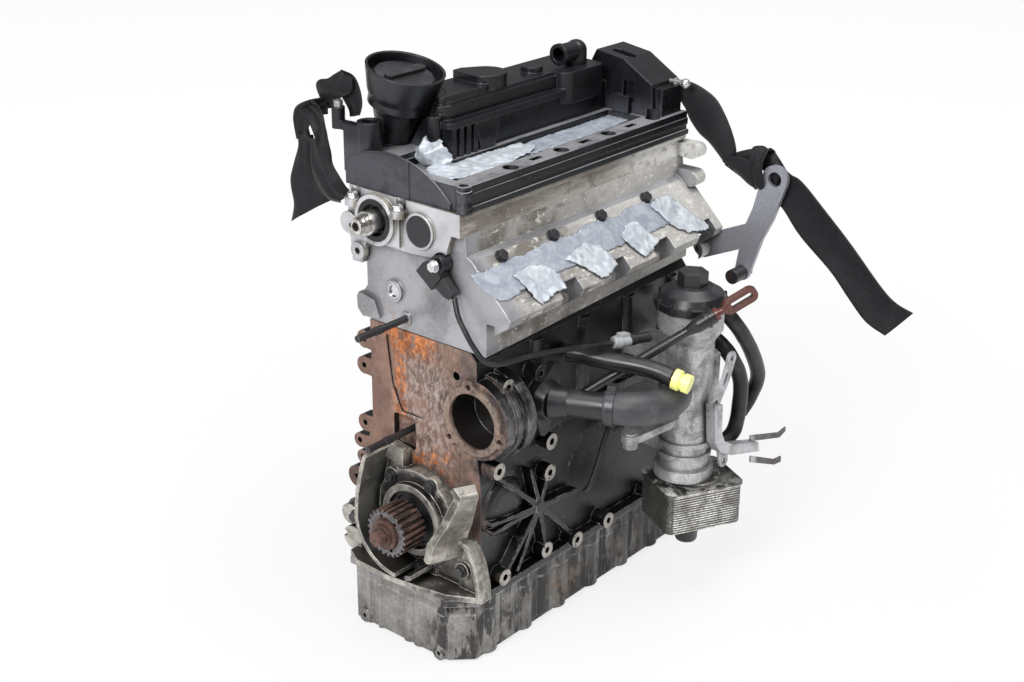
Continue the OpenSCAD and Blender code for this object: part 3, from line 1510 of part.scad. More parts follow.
place() water_pipe();
place() oil_filter_housing();
place() oil_filter_cap();
place() oil_cooler();
place() cooler_bolt();
place() dipstick();
place() dipstick_tube();
place() breather_hose_outer();
place() breather_hose_inner();
place() pipe_bracket();
place() lifting_eye();
place() eye_bolts();
place() port_tape();
place() cover_tape();
place() strap_right();
place() strap_left();
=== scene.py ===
"""Looks of a used in-line diesel car engine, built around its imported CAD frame."""

import json
import math

import bpy
import numpy as np
from mathutils import Matrix, Vector, noise
from mathutils.geometry import delaunay_2d_cdt


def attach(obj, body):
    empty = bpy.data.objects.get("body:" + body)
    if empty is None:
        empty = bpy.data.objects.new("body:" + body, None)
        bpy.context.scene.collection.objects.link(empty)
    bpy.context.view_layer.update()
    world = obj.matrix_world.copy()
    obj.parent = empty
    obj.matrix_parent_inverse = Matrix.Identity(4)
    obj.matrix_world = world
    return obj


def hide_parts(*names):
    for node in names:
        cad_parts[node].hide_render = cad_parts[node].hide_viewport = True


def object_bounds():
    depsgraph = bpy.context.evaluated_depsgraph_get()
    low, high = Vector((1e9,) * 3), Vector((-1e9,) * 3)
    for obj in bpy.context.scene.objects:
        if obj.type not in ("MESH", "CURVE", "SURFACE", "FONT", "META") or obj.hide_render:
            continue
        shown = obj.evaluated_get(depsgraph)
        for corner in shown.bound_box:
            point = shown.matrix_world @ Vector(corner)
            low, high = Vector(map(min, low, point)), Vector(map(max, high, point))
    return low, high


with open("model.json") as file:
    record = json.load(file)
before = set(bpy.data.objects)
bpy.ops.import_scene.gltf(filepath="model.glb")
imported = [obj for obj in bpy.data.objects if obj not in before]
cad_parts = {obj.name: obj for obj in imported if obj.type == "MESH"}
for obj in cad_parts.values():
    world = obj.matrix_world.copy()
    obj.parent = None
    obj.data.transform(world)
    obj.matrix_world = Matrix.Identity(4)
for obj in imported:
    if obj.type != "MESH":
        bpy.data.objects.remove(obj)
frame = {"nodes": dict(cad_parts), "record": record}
cad_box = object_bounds()
nodes = frame["nodes"]

X, Y, Z = range(3)
FRONT = 408  # the block's front face lies this far before the frame's origin, in mm


def at(x, y, z):
    """A point in metres in the frame, from millimetres measured from the block's front face."""
    return Vector(((x - FRONT) / 1000, y / 1000, z / 1000))


def place_object(name, data):
    made = bpy.data.objects.new(name, data)
    bpy.context.scene.collection.objects.link(made)
    return made


# ---------------------------------------------------------------- camera and light

AZIMUTH, ELEVATION, ROLL = (math.radians(a) for a in (-50.2, 23.2, 0.4))
SENSOR = 36
FOCAL = 57.45
EYE = (-1214.1, -1139.5, 928.5)  # the camera's place, in engine millimetres
MIDDLE = (-0.2, 0, 0.1)  # what the lamps point at
LAMPS = {  # place, size, watts
    "key": ((-2.9, -0.5, 2.1), (1.1, 1.1), 92),
    "top": ((-0.2, -0.5, 2.6), (2.0, 1.4), 50),
    "fill": ((-0.6, -2.6, 1.3), (0.9, 0.9), 9),
}
WHITE = (1, 1, 1, 1)


def make_camera():
    level = math.cos(ELEVATION)
    back = Vector((math.sin(AZIMUTH) * level, -math.cos(AZIMUTH) * level, math.sin(ELEVATION)))
    right = Vector((math.cos(AZIMUTH), math.sin(AZIMUTH), 0))
    up = back.cross(right)
    rolled_right = math.cos(ROLL) * right + math.sin(ROLL) * up
    rolled_up = -math.sin(ROLL) * right + math.cos(ROLL) * up
    data = bpy.data.cameras.new("camera")
    data.sensor_width, data.lens = SENSOR, FOCAL
    data.clip_end = 30
    camera = place_object("camera", data)
    turn = Matrix((rolled_right, rolled_up, back)).transposed()
    camera.matrix_world = Matrix.Translation(at(*EYE)) @ turn.to_4x4()
    bpy.context.scene.camera = camera


def make_lamps():
    for name, (place, size, watts) in LAMPS.items():
        data = bpy.data.lights.new(name, "AREA")
        data.shape, data.size, data.size_y = "RECTANGLE", *size
        data.energy = watts
        lamp = place_object(name, data)
        lamp.location = place
        way = Vector(MIDDLE) - Vector(place)
        lamp.rotation_euler = way.to_track_quat("-Z", "Y").to_euler()


class Tree:
    """A node tree, put together node by node."""

    def __init__(self, tree):
        self.tree = tree

    def add(self, kind, values=None, **settings):
        """A shader node. settings are its properties; values go to its inputs."""
        made = self.tree.nodes.new("ShaderNode" + kind)
        for key, value in settings.items():
            setattr(made, key, value)
        for key, value in (values or {}).items():
            self.put(value, made.inputs[key])
        return made

    def put(self, value, socket):
        """A socket is linked; a number or a colour is set."""
        if isinstance(value, bpy.types.NodeSocket):
            self.tree.links.new(value, socket)
        elif isinstance(value, (tuple, list)) and len(value) == 3 and socket.type == "RGBA":
            socket.default_value = (*value, 1)
        else:
            socket.default_value = value

    def seen(self, share, unseen, seen, output):
        """One shader for light that bounces, and another, by share, for what the camera sees."""
        straight = self.add("LightPath").outputs["Is Camera Ray"]
        if share < 1:
            straight = self.add("Math", {0: straight, 1: share}, operation="MULTIPLY").outputs[0]
        both = self.add("MixShader", {0: straight, 1: unseen.outputs[0], 2: seen.outputs[0]})
        self.put(both.outputs[0], self.tree.nodes[output].inputs["Surface"])


def make_world():
    """Grey light from below to white from above; the camera sees plain white."""
    world = bpy.data.worlds.new("studio")
    bpy.context.scene.world = world
    world.use_nodes = True
    sky = Tree(world.node_tree)
    way = sky.add("TexCoord").outputs["Generated"]
    height = sky.add("SeparateXYZ", {0: way}).outputs["Z"]
    ramp = sky.add("ValToRGB", {"Fac": height})
    low, high = ramp.color_ramp.elements
    low.position, low.color = 0.02, (0.13, 0.13, 0.14, 1)
    high.position, high.color = 0.75, WHITE
    light = sky.tree.nodes["Background"]
    sky.put(0.5, light.inputs["Strength"])
    sky.put(ramp.outputs["Color"], light.inputs["Color"])
    backdrop = sky.add("Background", {"Color": WHITE, "Strength": 1})
    sky.seen(1, light, backdrop, "World Output")


def make_floor(level, half=6):
    """White paper, a little dimmer round the object, so that its shadow shows."""
    mesh = bpy.data.meshes.new("floor")
    corners = [(x * half, y * half, level) for x, y in ((-1, -1), (1, -1), (1, 1), (-1, 1))]
    mesh.from_pydata(corners, [], [(0, 1, 2, 3)])
    material = bpy.data.materials.new("floor_paper")
    material.use_nodes = True
    ground = Tree(material.node_tree)
    paper = ground.tree.nodes["Principled BSDF"]
    ground.put((0.86, 0.86, 0.87), paper.inputs["Base Color"])
    ground.put(0.8, paper.inputs["Roughness"])
    spot = {0: ground.add("TexCoord").outputs["Object"], 1: (-0.2, -0.1, level)}
    reach = ground.add("VectorMath", spot, operation="DISTANCE").outputs["Value"]
    ease = {"Value": reach, "From Min": 0.45, "From Max": 1.7, "To Min": 0.955, "To Max": 1.07}
    bright = ground.add("MapRange", ease).outputs["Result"]
    glow = ground.add("Emission", {"Strength": bright})
    ground.seen(0.84, paper, glow, "Material Output")
    mesh.materials.append(material)
    place_object("floor", mesh)


# ---------------------------------------------------------------- materials

LOOKS = {}  # the materials by slot, with two more looks: hose_rubber, and tape_painted_highlight, a lighter copy of the tape that paints highlights


class Paint(Tree):
    """One procedural material. Its textures use the object's own coordinates, the frame's.

    A mask is a number or a socket from 0 to 1. Places are in metres."""

    def __init__(self, name):
        material = bpy.data.materials.new(name)
        material.use_nodes = True
        super().__init__(material.node_tree)
        LOOKS[name] = material
        self.shader = self.tree.nodes["Principled BSDF"]
        self.where = self.add("TexCoord").outputs["Object"]
        self.facing = self.add("NewGeometry").outputs["Normal"]
        self.weave = self.add("UVMap", uv_map="weave").outputs["UV"]

    def sum(self, kind, a, *others):
        for b in others or (0.0,):
            a = self.add("Math", {0: a, 1: b}, operation=kind).outputs[0]
        return a

    def both(self, *masks):
        return self.sum("MULTIPLY", *masks) if len(masks) > 1 else masks[0]

    def either(self, *masks):
        return self.sum("MAXIMUM", *masks)

    def add_up(self, *values):
        return self.sum("ADD", *values)

    def length(self, a, b):
        return self.sum("SQRT", self.add_up(self.both(a, a), self.both(b, b)))

    def noise(self, scale, detail=5, rough=0.7, stretch=None, twist=0.0):
        where = self.where
        if stretch:
            where = self.add("Mapping", {"Vector": where, "Scale": stretch}).outputs[0]
        values = {"Vector": where, "Scale": scale, "Detail": detail, "Roughness": rough}
        return self.add("TexNoise", {**values, "Distortion": twist}).outputs["Fac"]

    def step(self, value, low, high):
        """0 below low, 1 above high, smooth between them; low may be the greater."""
        values = {"Value": value, "From Min": low, "From Max": high}
        return self.add("MapRange", values, interpolation_type="SMOOTHSTEP").outputs["Result"]

    def spots(self, low, high, *noise_of, **more):
        """A noise, stepped."""
        return self.step(self.noise(*noise_of, **more), low, high)

    def mix(self, share, a, b):
        return self.add("Mix", {"Factor": share, 6: a, 7: b}, data_type="RGBA").outputs[2]

    def blend(self, share, a, b):
        return self.add("Mix", {"Factor": share, 2: a, 3: b}, data_type="FLOAT").outputs[0]

    def layers(self, colour, *coats):
        """Coats of paint, one over the other: each is a tint and the masks that let it through."""
        for tint, *masks in coats:
            colour = self.mix(self.both(*masks), colour, tint)
        return colour

    def axis(self, of, index):
        return self.add("SeparateXYZ", {0: of}).outputs[index]

    def past(self, index, low, high):
        """0 before low on an axis, 1 past high, or the other way round."""
        return self.step(self.axis(self.where, index), low, high)

    def faces(self, index, low, high):
        """As past, for the way that the surface faces."""
        return self.step(self.axis(self.facing, index), low, high)

    def zone(self, index, low, high, soft=0.004):
        """1 between two places on an axis, with soft ends."""
        place = self.axis(self.where, index)
        after = self.step(place, low - soft, low + soft)
        return self.both(after, self.step(place, high + soft, high - soft))

    def shade_in_hollows(self, reach):
        """1 deep in corners and recesses, 0 on open faces: the mask for painted shade."""
        made = self.add("AmbientOcclusion", {"Distance": reach}, samples=6)
        return self.step(made.outputs["AO"], 0.85, 0.25)

    def rounded(self, radius):
        return self.add("Bevel", {"Radius": radius}, samples=4).outputs[0]

    def edges(self, radius):
        """1 along the outer and inner edges, 0 on faces."""
        values = {0: self.rounded(radius), 1: self.facing}
        made = self.add("VectorMath", values, operation="DOT_PRODUCT")
        return self.step(made.outputs["Value"], 0.985, 0.8)

    def bump(self, height, strength, distance=0.0004, radius=0.0006):
        values = {"Strength": strength, "Distance": distance, "Height": height}
        if radius:
            values["Normal"] = self.rounded(radius)
        self.put(self.add("Bump", values).outputs[0], self.shader.inputs["Normal"])

    def finish(self, colour, rough, metal=0.0, sheen=None, gloss=0.5):
        values = {"Base Color": colour, "Roughness": rough, "Metallic": metal}
        values["Specular IOR Level"] = gloss
        if sheen:
            values["Sheen Weight"], values["Sheen Roughness"] = sheen
        for key, value in values.items():
            self.put(value, self.shader.inputs[key])


RUST = (0.16, 0.055, 0.022)
PUMP_Y, PUMP_Z = -0.075, 0.141  # the axis of the block's pump bore


def casting_bump(p, grain, strength, radius):
    """The grain of a casting over larger lumps; radius rounds its edges."""
    grains = p.noise(grain, 3, 0.6)
    lumps = p.noise(grain / 9, 3, 0.5)
    p.bump(p.add_up(p.both(grains, 0.5), lumps), strength, 0.0008, radius)


def paint_block():
    """Cast iron: rusty in front, black and wet on the intake side, with bright machined bosses."""
    p = Paint("cast_block")
    blotch = p.noise(28, 6, 0.62, twist=0.6)
    scale = p.noise(170, 8, 0.75, stretch=(1, 1, 0.6), twist=0.5)
    y, z = p.axis(p.where, Y), p.axis(p.where, Z)
    brown = p.layers(
        p.mix(p.step(blotch, 0.35, 0.68), (0.085, 0.05, 0.038), (0.23, 0.135, 0.1)),
        ((0.28, 0.19, 0.15), p.step(scale, 0.44, 0.64)),
        ((0.05, 0.032, 0.025), p.spots(0.55, 0.7, 220, 5, 0.65), 0.7),
        # grey scale in the middle
        ((0.37, 0.31, 0.29), p.zone(Y, -0.045, 0.04, 0.02), p.zone(Z, 0.08, 0.185, 0.03),
         p.step(scale, 0.42, 0.64), 0.85),
    )
    # orange rust
    orange = p.mix(p.step(scale, 0.4, 0.62), (0.26, 0.075, 0.02), (0.62, 0.22, 0.07))
    brown = p.layers(
        brown,
        # in the panel's upper corner
        (orange, p.zone(Z, 0.192, 0.226, 0.012), p.zone(Y, -0.015, 0.058, 0.012),
         p.spots(0.4, 0.52, 85, 6)),
        # along the panel's edge
        (orange, p.zone(Y, 0.03, 0.047, 0.006), p.zone(Z, 0.105, 0.2, 0.01),
         p.spots(0.44, 0.54, 140)),
        # over the seal flange
        (orange, p.zone(Y, -0.04, 0.03, 0.015), p.zone(Z, 0.05, 0.085, 0.01),
         p.spots(0.5, 0.6, 100)),
        # the smooth left strip
        (p.mix(p.step(blotch, 0.4, 0.6), (0.15, 0.08, 0.058), (0.22, 0.125, 0.095)),
         p.past(Y, 0.047, 0.055), p.zone(Z, 0.06, 0.2, 0.02), 0.7),
        # grime low down
        ((0.05, 0.026, 0.02), p.past(Z, 0.075, 0.03), p.spots(0.32, 0.52, 50, 5, 0.55), 0.75),
    )
    # grease round the pump flange
    greasy = p.both(p.past(Y, -0.035, -0.08), p.spots(0.34, 0.55, 45, 5, 0.65))
    front = p.layers(
        p.mix(p.both(greasy, 0.85), brown, (0.032, 0.027, 0.026)),
        # painted shade in the front's corners and recesses
        ((0.018, 0.012, 0.01), p.shade_in_hollows(0.016), 0.55),
    )
    # the long sides
    wet = p.noise(34, 6, 0.6)
    side = p.layers(
        p.mix(p.step(wet, 0.45, 0.7), (0.0035, 0.0035, 0.004), (0.015, 0.014, 0.014)),
        ((0.15, 0.135, 0.12), p.spots(0.6, 0.7, 90, 6), 0.8),
        # near-black painted shade in the sides' corners and recesses
        ((0.002, 0.002, 0.002), p.shade_in_hollows(0.03), 0.85),
        # the pump housing's side
        ((0.12, 0.116, 0.12), p.past(Y, -0.1065, -0.108), p.past(Z, 0.08, 0.09),
         p.past(X, -0.36, -0.364), p.spots(0.32, 0.72, 55, 5, 0.6)),
    )
    near = p.both(p.faces(X, -0.5, -0.8), p.past(X, -0.385, -0.4))
    fore = p.either(p.past(X, -0.4065, -0.4085), near)
    # machined faces of the bosses
    boss = p.both(p.past(Y, -0.0988, -0.0989), p.faces(Y, -0.9, -0.97), p.past(Y, -0.1065, -0.106))
    boss = p.both(boss, p.spots(0.25, 0.5, 120, 3, 0.55))
    # the pump's bore, its machined step and its lip
    reach = p.length(p.add_up(y, -PUMP_Y), p.sum("SUBTRACT", z, PUMP_Z))
    bore = p.both(
        p.step(reach, 0.0345, 0.0335), p.zone(X, -0.401, -0.395, 0.0006), p.past(Y, -0.088, -0.1),
    )
    wiped = p.either(boss, bore)
    colour = p.layers(
        p.mix(fore, side, front),
        ((0.4, 0.375, 0.33), boss),
        # near-black inside it
        ((0.014, 0.012, 0.011), p.step(reach, 0.0375, 0.0365), p.past(X, -0.4085, -0.407), 0.9),
        ((0.5, 0.46, 0.4), bore),
        # its dirty lip
        ((0.27, 0.2, 0.15), p.step(reach, 0.045, 0.042), p.past(X, -0.409, -0.4105),
         p.spots(0.4, 0.54, 120, 6), 0.6),
        # bright edges, partly wear and partly painted highlight, palest along the black side
        (p.mix(fore, (0.5, 0.5, 0.51), (0.26, 0.2, 0.17)), p.edges(0.0016),
         p.spots(0.42, 0.6, 60), p.blend(fore, 0.9, 0.5)),
    )
    rough = p.blend(
        fore, p.blend(p.step(wet, 0.35, 0.65), 0.08, 0.24),
        p.blend(p.step(blotch, 0.3, 0.7), 0.5, 0.8),
    )
    rough = p.blend(p.both(fore, greasy), rough, 0.25)
    rough = p.blend(wiped, rough, 0.32)
    metal = p.blend(wiped, 0.0, 0.7)
    uneven = p.add_up(p.noise(900, 4, 0.65), p.both(p.noise(60, 3, 0.5), 1.1))
    p.bump(uneven, 0.42, 0.001, 0.0022)
    p.finish(colour, rough, metal, gloss=0.45)


def paint_pistons():
    """Cast aluminium with stains, painted shade in its corners and recesses, and brighter edges,
    partly wear and partly painted highlight.
    """
    p = Paint("piston_alloy")
    stained = p.spots(0.5, 0.8, 60, 6, 0.6, twist=0.4)
    colour = p.mix(stained, (0.62, 0.62, 0.63), (0.35, 0.34, 0.33))
    colour = p.layers(
        p.mix(p.spots(0.35, 0.8, 260, 4, 0.6), p.mix(0.25, colour, (0.02, 0.018, 0.016)), colour),
        # painted shade in corners and recesses
        ((0.03, 0.026, 0.022), p.shade_in_hollows(0.012), 0.6),
        # brighter edges: partly wear, partly painted highlight
        ((0.837, 0.837, 0.8505), p.edges(0.0012), 0.5),
    )
    casting_bump(p, 1500, 0.3, 0.0012)
    p.finish(colour, p.blend(stained, 0.38, 0.62), p.blend(stained, 0.55, 0.165))


def paint_carrier():
    """The cam carrier: bright casting in front, sandy streaks and speckled dirt along its sides."""
    p = Paint("carrier_alloy")
    streak = p.noise(60, 6, stretch=(0.12, 1, 1))
    front = p.faces(X, -0.5, -0.9)
    side = p.layers(
        p.mix(p.step(streak, 0.38, 0.62), (0.47, 0.44, 0.37), (0.17, 0.14, 0.1)),
        ((0.055, 0.046, 0.036), p.spots(0.54, 0.66, 420, 4), 0.7),
        ((0.66, 0.62, 0.52), p.spots(0.6, 0.7, 200, 4), 0.6),
    )
    colour = p.layers(
        p.mix(p.spots(0.35, 0.65, 14, 3, 0.5, twist=0.5), (0.4, 0.4, 0.42), (0.66, 0.66, 0.68)),
        (side, p.sum("SUBTRACT", 1.0, front), 0.85),
        ((0.13, 0.11, 0.09), p.spots(0.54, 0.68, 30, 5, 0.6), 0.6),  # stains
        # lighter towards the rear: painted highlight
        ((0.84, 0.83, 0.79), p.past(X, -0.17, -0.08), p.spots(0.32, 0.52, 90), 0.85),
        # painted shade in corners and recesses
        ((0.02, 0.018, 0.015), p.shade_in_hollows(0.014), 0.9),
        # brighter edges: partly wear, partly painted highlight
        ((0.82, 0.82, 0.8), p.edges(0.0013), 0.6),
    )
    casting_bump(p, 1500, 0.3, 0.0016)
    p.finish(colour, p.blend(front, 0.5, 0.3), p.blend(front, 0.35, 0.65))


def paint_head():
    """The cylinder head: clean bluish casting in front, sandy dirt along the intake side."""
    p = Paint("head_alloy")
    broad = p.noise(11, 3, 0.5, twist=0.6)
    blotch = p.noise(26, 6, 0.62, twist=0.5)
    fine = p.noise(300, 4, 0.6)
    aside = p.both(p.faces(Y, -0.35, -0.8), p.past(X, -0.395, -0.38))
    clean = p.layers(
        p.mix(p.step(broad, 0.38, 0.62), (0.22, 0.221, 0.232), (0.37, 0.37, 0.39)),
        ((0.55, 0.555, 0.58), p.step(fine, 0.45, 0.75), 0.25),
        ((0.24, 0.22, 0.2), p.step(blotch, 0.58, 0.72), 0.6),
    )
    tan = p.layers(
        p.mix(p.step(blotch, 0.35, 0.65), (0.4, 0.385, 0.355), (0.135, 0.115, 0.09)),
        ((0.06, 0.05, 0.042), p.spots(0.52, 0.66, 75, stretch=(0.35, 1, 1))),
        ((0.52, 0.47, 0.38), p.spots(0.6, 0.7, 520, 3), 0.5),
        # lighter towards the rear of the intake side: painted highlight
        (p.mix(p.step(fine, 0.4, 0.7), (0.54, 0.525, 0.49), (0.72, 0.705, 0.67)),
         p.past(X, -0.3, -0.12), 0.72),
    )
    colour = p.layers(
        p.mix(p.both(aside, 0.85), clean, tan),
        # chips of bare metal
        ((0.74, 0.72, 0.66), p.spots(0.57, 0.63, 150, stretch=(0.5, 1, 1)), aside, 0.75),
        # rust along its foot
        ((0.33, 0.16, 0.07), p.zone(Z, 0.222, 0.24, 0.006), p.spots(0.55, 0.68, 70, 4, 0.55), 0.4),
        # painted shade in corners and recesses
        ((0.03, 0.026, 0.022), p.shade_in_hollows(0.018), 0.85),
        # brighter edges: partly wear, partly painted highlight
        ((0.8, 0.8, 0.8), p.edges(0.0014), 0.55),
    )
    casting_bump(p, 1500, 0.3, 0.0018)
    p.finish(
        colour, p.blend(aside, p.blend(p.step(broad, 0.35, 0.65), 0.3, 0.42), 0.52),
        p.blend(aside, 0.6, 0.12),
    )


def paint_sump():
    """The sump: grey casting under old oil, dark runs and stains, and a painted highlight along its
    rim.
    """
    p = Paint("sump_alloy")
    runs = p.noise(55, 5, 0.6, stretch=(1, 1, 0.16))
    blotch = p.noise(24, 6, 0.65, twist=0.5)
    fine = p.noise(260, 4, 0.65)
    colour = p.mix(p.step(blotch, 0.35, 0.7), (0.35, 0.342, 0.33), (0.17, 0.158, 0.143))
    oily = p.both(p.past(X, -0.4, -0.26), p.step(runs, 0.34, 0.58))
    colour = p.layers(
        p.mix(p.step(fine, 0.35, 0.7), p.mix(0.3, colour, (0.03, 0.027, 0.024)), colour),
        ((0.035, 0.03, 0.025), oily, 0.8),
        # oil in the front corner
        ((0.022, 0.02, 0.019), p.zone(Y, -0.105, -0.03, 0.02),
         p.spots(0.46, 0.54, 48, 6, stretch=(1, 1, 0.35)), 0.9),
        # a brown patch
        ((0.2, 0.125, 0.075), p.zone(X, -0.28, -0.235, 0.012), p.zone(Z, -0.15, -0.115, 0.01),
         p.spots(0.45, 0.7, 110, 5, 0.55)),
        # painted shade in corners and recesses
        ((0.018, 0.016, 0.014), p.shade_in_hollows(0.014), 0.85),
        # brighter edges: partly wear, partly painted highlight
        ((0.62, 0.61, 0.6), p.edges(0.0016), p.step(fine, 0.3, 0.6)),
        # a painted highlight along the rim
        ((0.6, 0.59, 0.58), p.zone(Z, -0.1018, -0.0985, 0.0008), p.spots(0.42, 0.6, 120),
         0.3),
    )
    casting_bump(p, 1200, 0.4, 0.002)
    p.finish(colour, p.blend(oily, 0.46, 0.28), p.blend(oily, 0.5, 0.15))


def paint_flange():
    """The front seal flange: cream casting, bright edges that are partly wear and partly painted
    highlight, black grease, and painted shade on its inner wall and in its corners and recesses.
    """
    p = Paint("flange_alloy")
    blotch = p.noise(40, 6, 0.6, twist=0.6)
    y, z = p.axis(p.where, Y), p.axis(p.where, Z)
    radius = p.length(y, z)
    greasy = p.both(p.spots(0.4, 0.66, 46, 6, 0.65), 0.85)
    # the inner wall that faces the sprocket, for painted shade
    inner = p.both(p.faces(Y, -0.45, -0.85), p.past(Y, 0.02, 0.03))
    under = p.both(inner, p.past(Z, 0.02, -0.03))
    ledge = p.both(p.faces(Z, 0.5, 0.8), p.past(Y, -0.04, -0.02))
    pool = p.both(p.either(under, ledge), p.past(Z, 0.03, 0.0))
    colour = p.layers(
        p.mix(p.step(blotch, 0.38, 0.68), (0.47, 0.445, 0.4), (0.2, 0.18, 0.15)),
        ((0.05, 0.045, 0.04), greasy),
        ((0.62, 0.6, 0.55), p.spots(0.54, 0.68, 210), 0.35),
        # painted shade on the inner wall
        (p.mix(p.step(blotch, 0.4, 0.6), (0.1, 0.097, 0.09), (0.22, 0.215, 0.2)), inner, 0.85),
        # painted shade under the inner wall, grease on the ledges
        ((0.016, 0.015, 0.014), pool, 0.9),
        # dark patches in the pocket
        ((0.03, 0.028, 0.026), p.zone(Y, -0.085, -0.03, 0.012), p.zone(Z, -0.09, -0.05, 0.01),
         p.spots(0.36, 0.5, 42, 5, 0.6), 0.8),
        # the dull wing
        ((0.075, 0.066, 0.052), p.past(Y, -0.045, -0.06), p.past(Z, -0.02, 0.0),
         p.faces(X, -0.2, -0.6), p.spots(0.3, 0.52, 50, 5, 0.65)),
        # behind the sprocket
        ((0.02, 0.018, 0.017), p.step(radius, 0.064, 0.052), p.past(X, -0.437, -0.43),
         p.spots(0.34, 0.5, 34, 4, 0.55)),
        # near-black painted shade in corners and recesses
        ((0.012, 0.011, 0.01), p.shade_in_hollows(0.02), 0.95),
        # bright edges: partly wear, partly painted highlight
        ((0.78, 0.76, 0.7), p.edges(0.0018), p.spots(0.3, 0.55, 280, 4, 0.65)),
    )
    casting_bump(p, 1200, 0.45, 0.0022)
    p.finish(colour, p.blend(greasy, 0.45, 0.24), p.blend(greasy, 0.45, 0.1))


def paint_plastic(name, colour, rough, dusty, radius, dust=(0.16, 0.16, 0.165)):
    """Moulded plastic: fine grain, brighter edges that are partly soft wear and partly painted
    highlight, dust on what faces up.
    """
    p = Paint(name)
    blotch = p.noise(20, 5, 0.6)
    p.bump(p.noise(2600, 2, 0.5), 0.12, 0.0004, radius)
    worn = p.layers(
        colour,
        (tuple(1.5 * c + 0.008 for c in colour), p.step(blotch, 0.4, 0.75), 0.5),
        (dust, p.faces(Z, 0.3, 0.95), p.spots(0.35, 0.75, 38, 5, 0.65), dusty),
        (dust, p.spots(0.68, 0.76, 700, 3), 0.35),
        # brighter edges: partly wear, partly painted highlight
        (tuple(2.2 * c + 0.03 for c in colour), p.edges(radius), 0.35),
    )
    p.finish(worn, p.blend(p.step(blotch, 0.3, 0.7), *rough))


def paint_connector():
    """The cable's connector: a grey clip in front, a black body behind it."""
    p = Paint("grey_plastic")
    body = p.past(X, -0.215, -0.2135)
    colour = p.layers(
        p.mix(body, (0.3, 0.31, 0.32), (0.01, 0.01, 0.012)),
        # painted highlight along the edges
        ((0.32, 0.32, 0.33), p.edges(0.001), 0.3),
    )
    p.bump(p.noise(2600, 2, 0.5), 0.12, 0.0004, 0.001)
    p.finish(colour, 0.42, gloss=0.4)


def paint_rubber(name, colour=(0.013, 0.013, 0.0145), rough=(0.32, 0.5), dust=(0.06, 0.058, 0.055)):
    """Rubber under a thin, patchy film of dust."""
    p = Paint(name)
    film = p.both(p.spots(0.4, 0.75, 45, 5, 0.6), 0.5)
    p.bump(p.noise(1800, 3, 0.6), 0.18)
    p.finish(p.mix(film, colour, dust), p.blend(film, *rough), gloss=0.3)


def paint_steel(name, colour, rough, metal, rusty, scale):
    """Steel with turned or rolled grain, and rust in patches where rusty is above 0."""
    p = Paint(name)
    blotch = p.noise(scale, 6, 0.65, twist=0.3)
    grain = p.noise(900, 3, 0.6)
    worn = p.mix(p.step(grain, 0.35, 0.7), tuple(0.7 * c for c in colour), colour)
    rust = p.both(p.step(blotch, 0.62 - 0.3 * rusty, 0.72 - 0.2 * rusty), min(1.0, 1.6 * rusty))
    worn = p.layers(
        worn,
        (p.mix(p.step(grain, 0.4, 0.6), RUST, (0.07, 0.03, 0.018)), rust),
        # painted shade in corners and recesses
        ((0.02, 0.017, 0.015), p.shade_in_hollows(0.006), 0.6),
    )
    p.bump(grain, 0.25 + 0.3 * rusty)
    p.finish(worn, p.blend(rust, rough, 0.8), p.blend(rust, metal, 0.0))


def threads(p, pitch, bend):
    """Heights of woven threads, pitch apart in metres, both ways over a piece of cloth."""
    values = {"Vector": p.weave, "Scale": 0.314 / pitch, "Distortion": bend}
    return [
        p.add("TexWave", values, wave_type="BANDS", bands_direction=way).outputs["Fac"]
        for way in "XY"
    ]


def paint_sprocket():
    """The belt sprocket: greasy worn teeth with painted shade between them, a grey face, an
    orange-brown bolt.
    """
    p = Paint("rusty_steel")
    blotch = p.noise(90, 6, 0.65, twist=0.3)
    fine = p.noise(340, 5, 0.65)
    y, z = p.axis(p.where, Y), p.axis(p.where, Z)
    radius = p.length(y, z)
    teeth = p.layers(
        p.mix(p.step(blotch, 0.4, 0.62), (0.028, 0.019, 0.016), (0.12, 0.062, 0.045)),
        # lighter tooth edges: partly wear, partly painted highlight
        ((0.3, 0.22, 0.18), p.edges(0.0009), p.step(fine, 0.35, 0.55)),
    )
    face = p.mix(p.step(fine, 0.42, 0.62), (0.15, 0.15, 0.16), (0.06, 0.042, 0.038))
    orange = p.mix(p.step(fine, 0.38, 0.62), (0.13, 0.062, 0.042), (0.06, 0.036, 0.03))
    colour = p.layers(
        p.mix(p.faces(X, -0.6, -0.9), teeth, face),
        (orange, p.step(radius, 0.0205, 0.0185)),
        # near-black painted shade between the teeth and in recesses
        ((0.007, 0.006, 0.006), p.shade_in_hollows(0.006), 0.95),
    )
    p.bump(p.add_up(fine, blotch), 0.5, 0.0008, 0.0008)
    p.finish(colour, p.blend(p.step(blotch, 0.4, 0.6), 0.35, 0.7), 0.25)


def paint_forged():
    """Forged steel, dull inside the engine and ground bright on the camshaft's nose."""
    p = Paint("forged_steel")
    grain = p.noise(900, 3, 0.6)
    turned = p.noise(160, 3, 0.6, stretch=(9, 1, 1))
    nose = p.past(X, -0.405, -0.412)
    dull = p.mix(p.step(grain, 0.35, 0.7), (0.3, 0.28, 0.27), (0.43, 0.41, 0.39))
    bright = p.layers(
        p.mix(p.step(turned, 0.4, 0.6), (0.66, 0.65, 0.62), (0.42, 0.4, 0.37)),
        ((0.22, 0.19, 0.16), p.spots(0.6, 0.7, 130)),
    )
    colour = p.layers(
        p.mix(nose, dull, bright),
        # painted shade in corners and recesses
        ((0.02, 0.017, 0.015), p.shade_in_hollows(0.006), 0.8),
    )
    p.bump(grain, 0.2)
    p.finish(colour, p.blend(nose, 0.42, 0.2), 0.95)


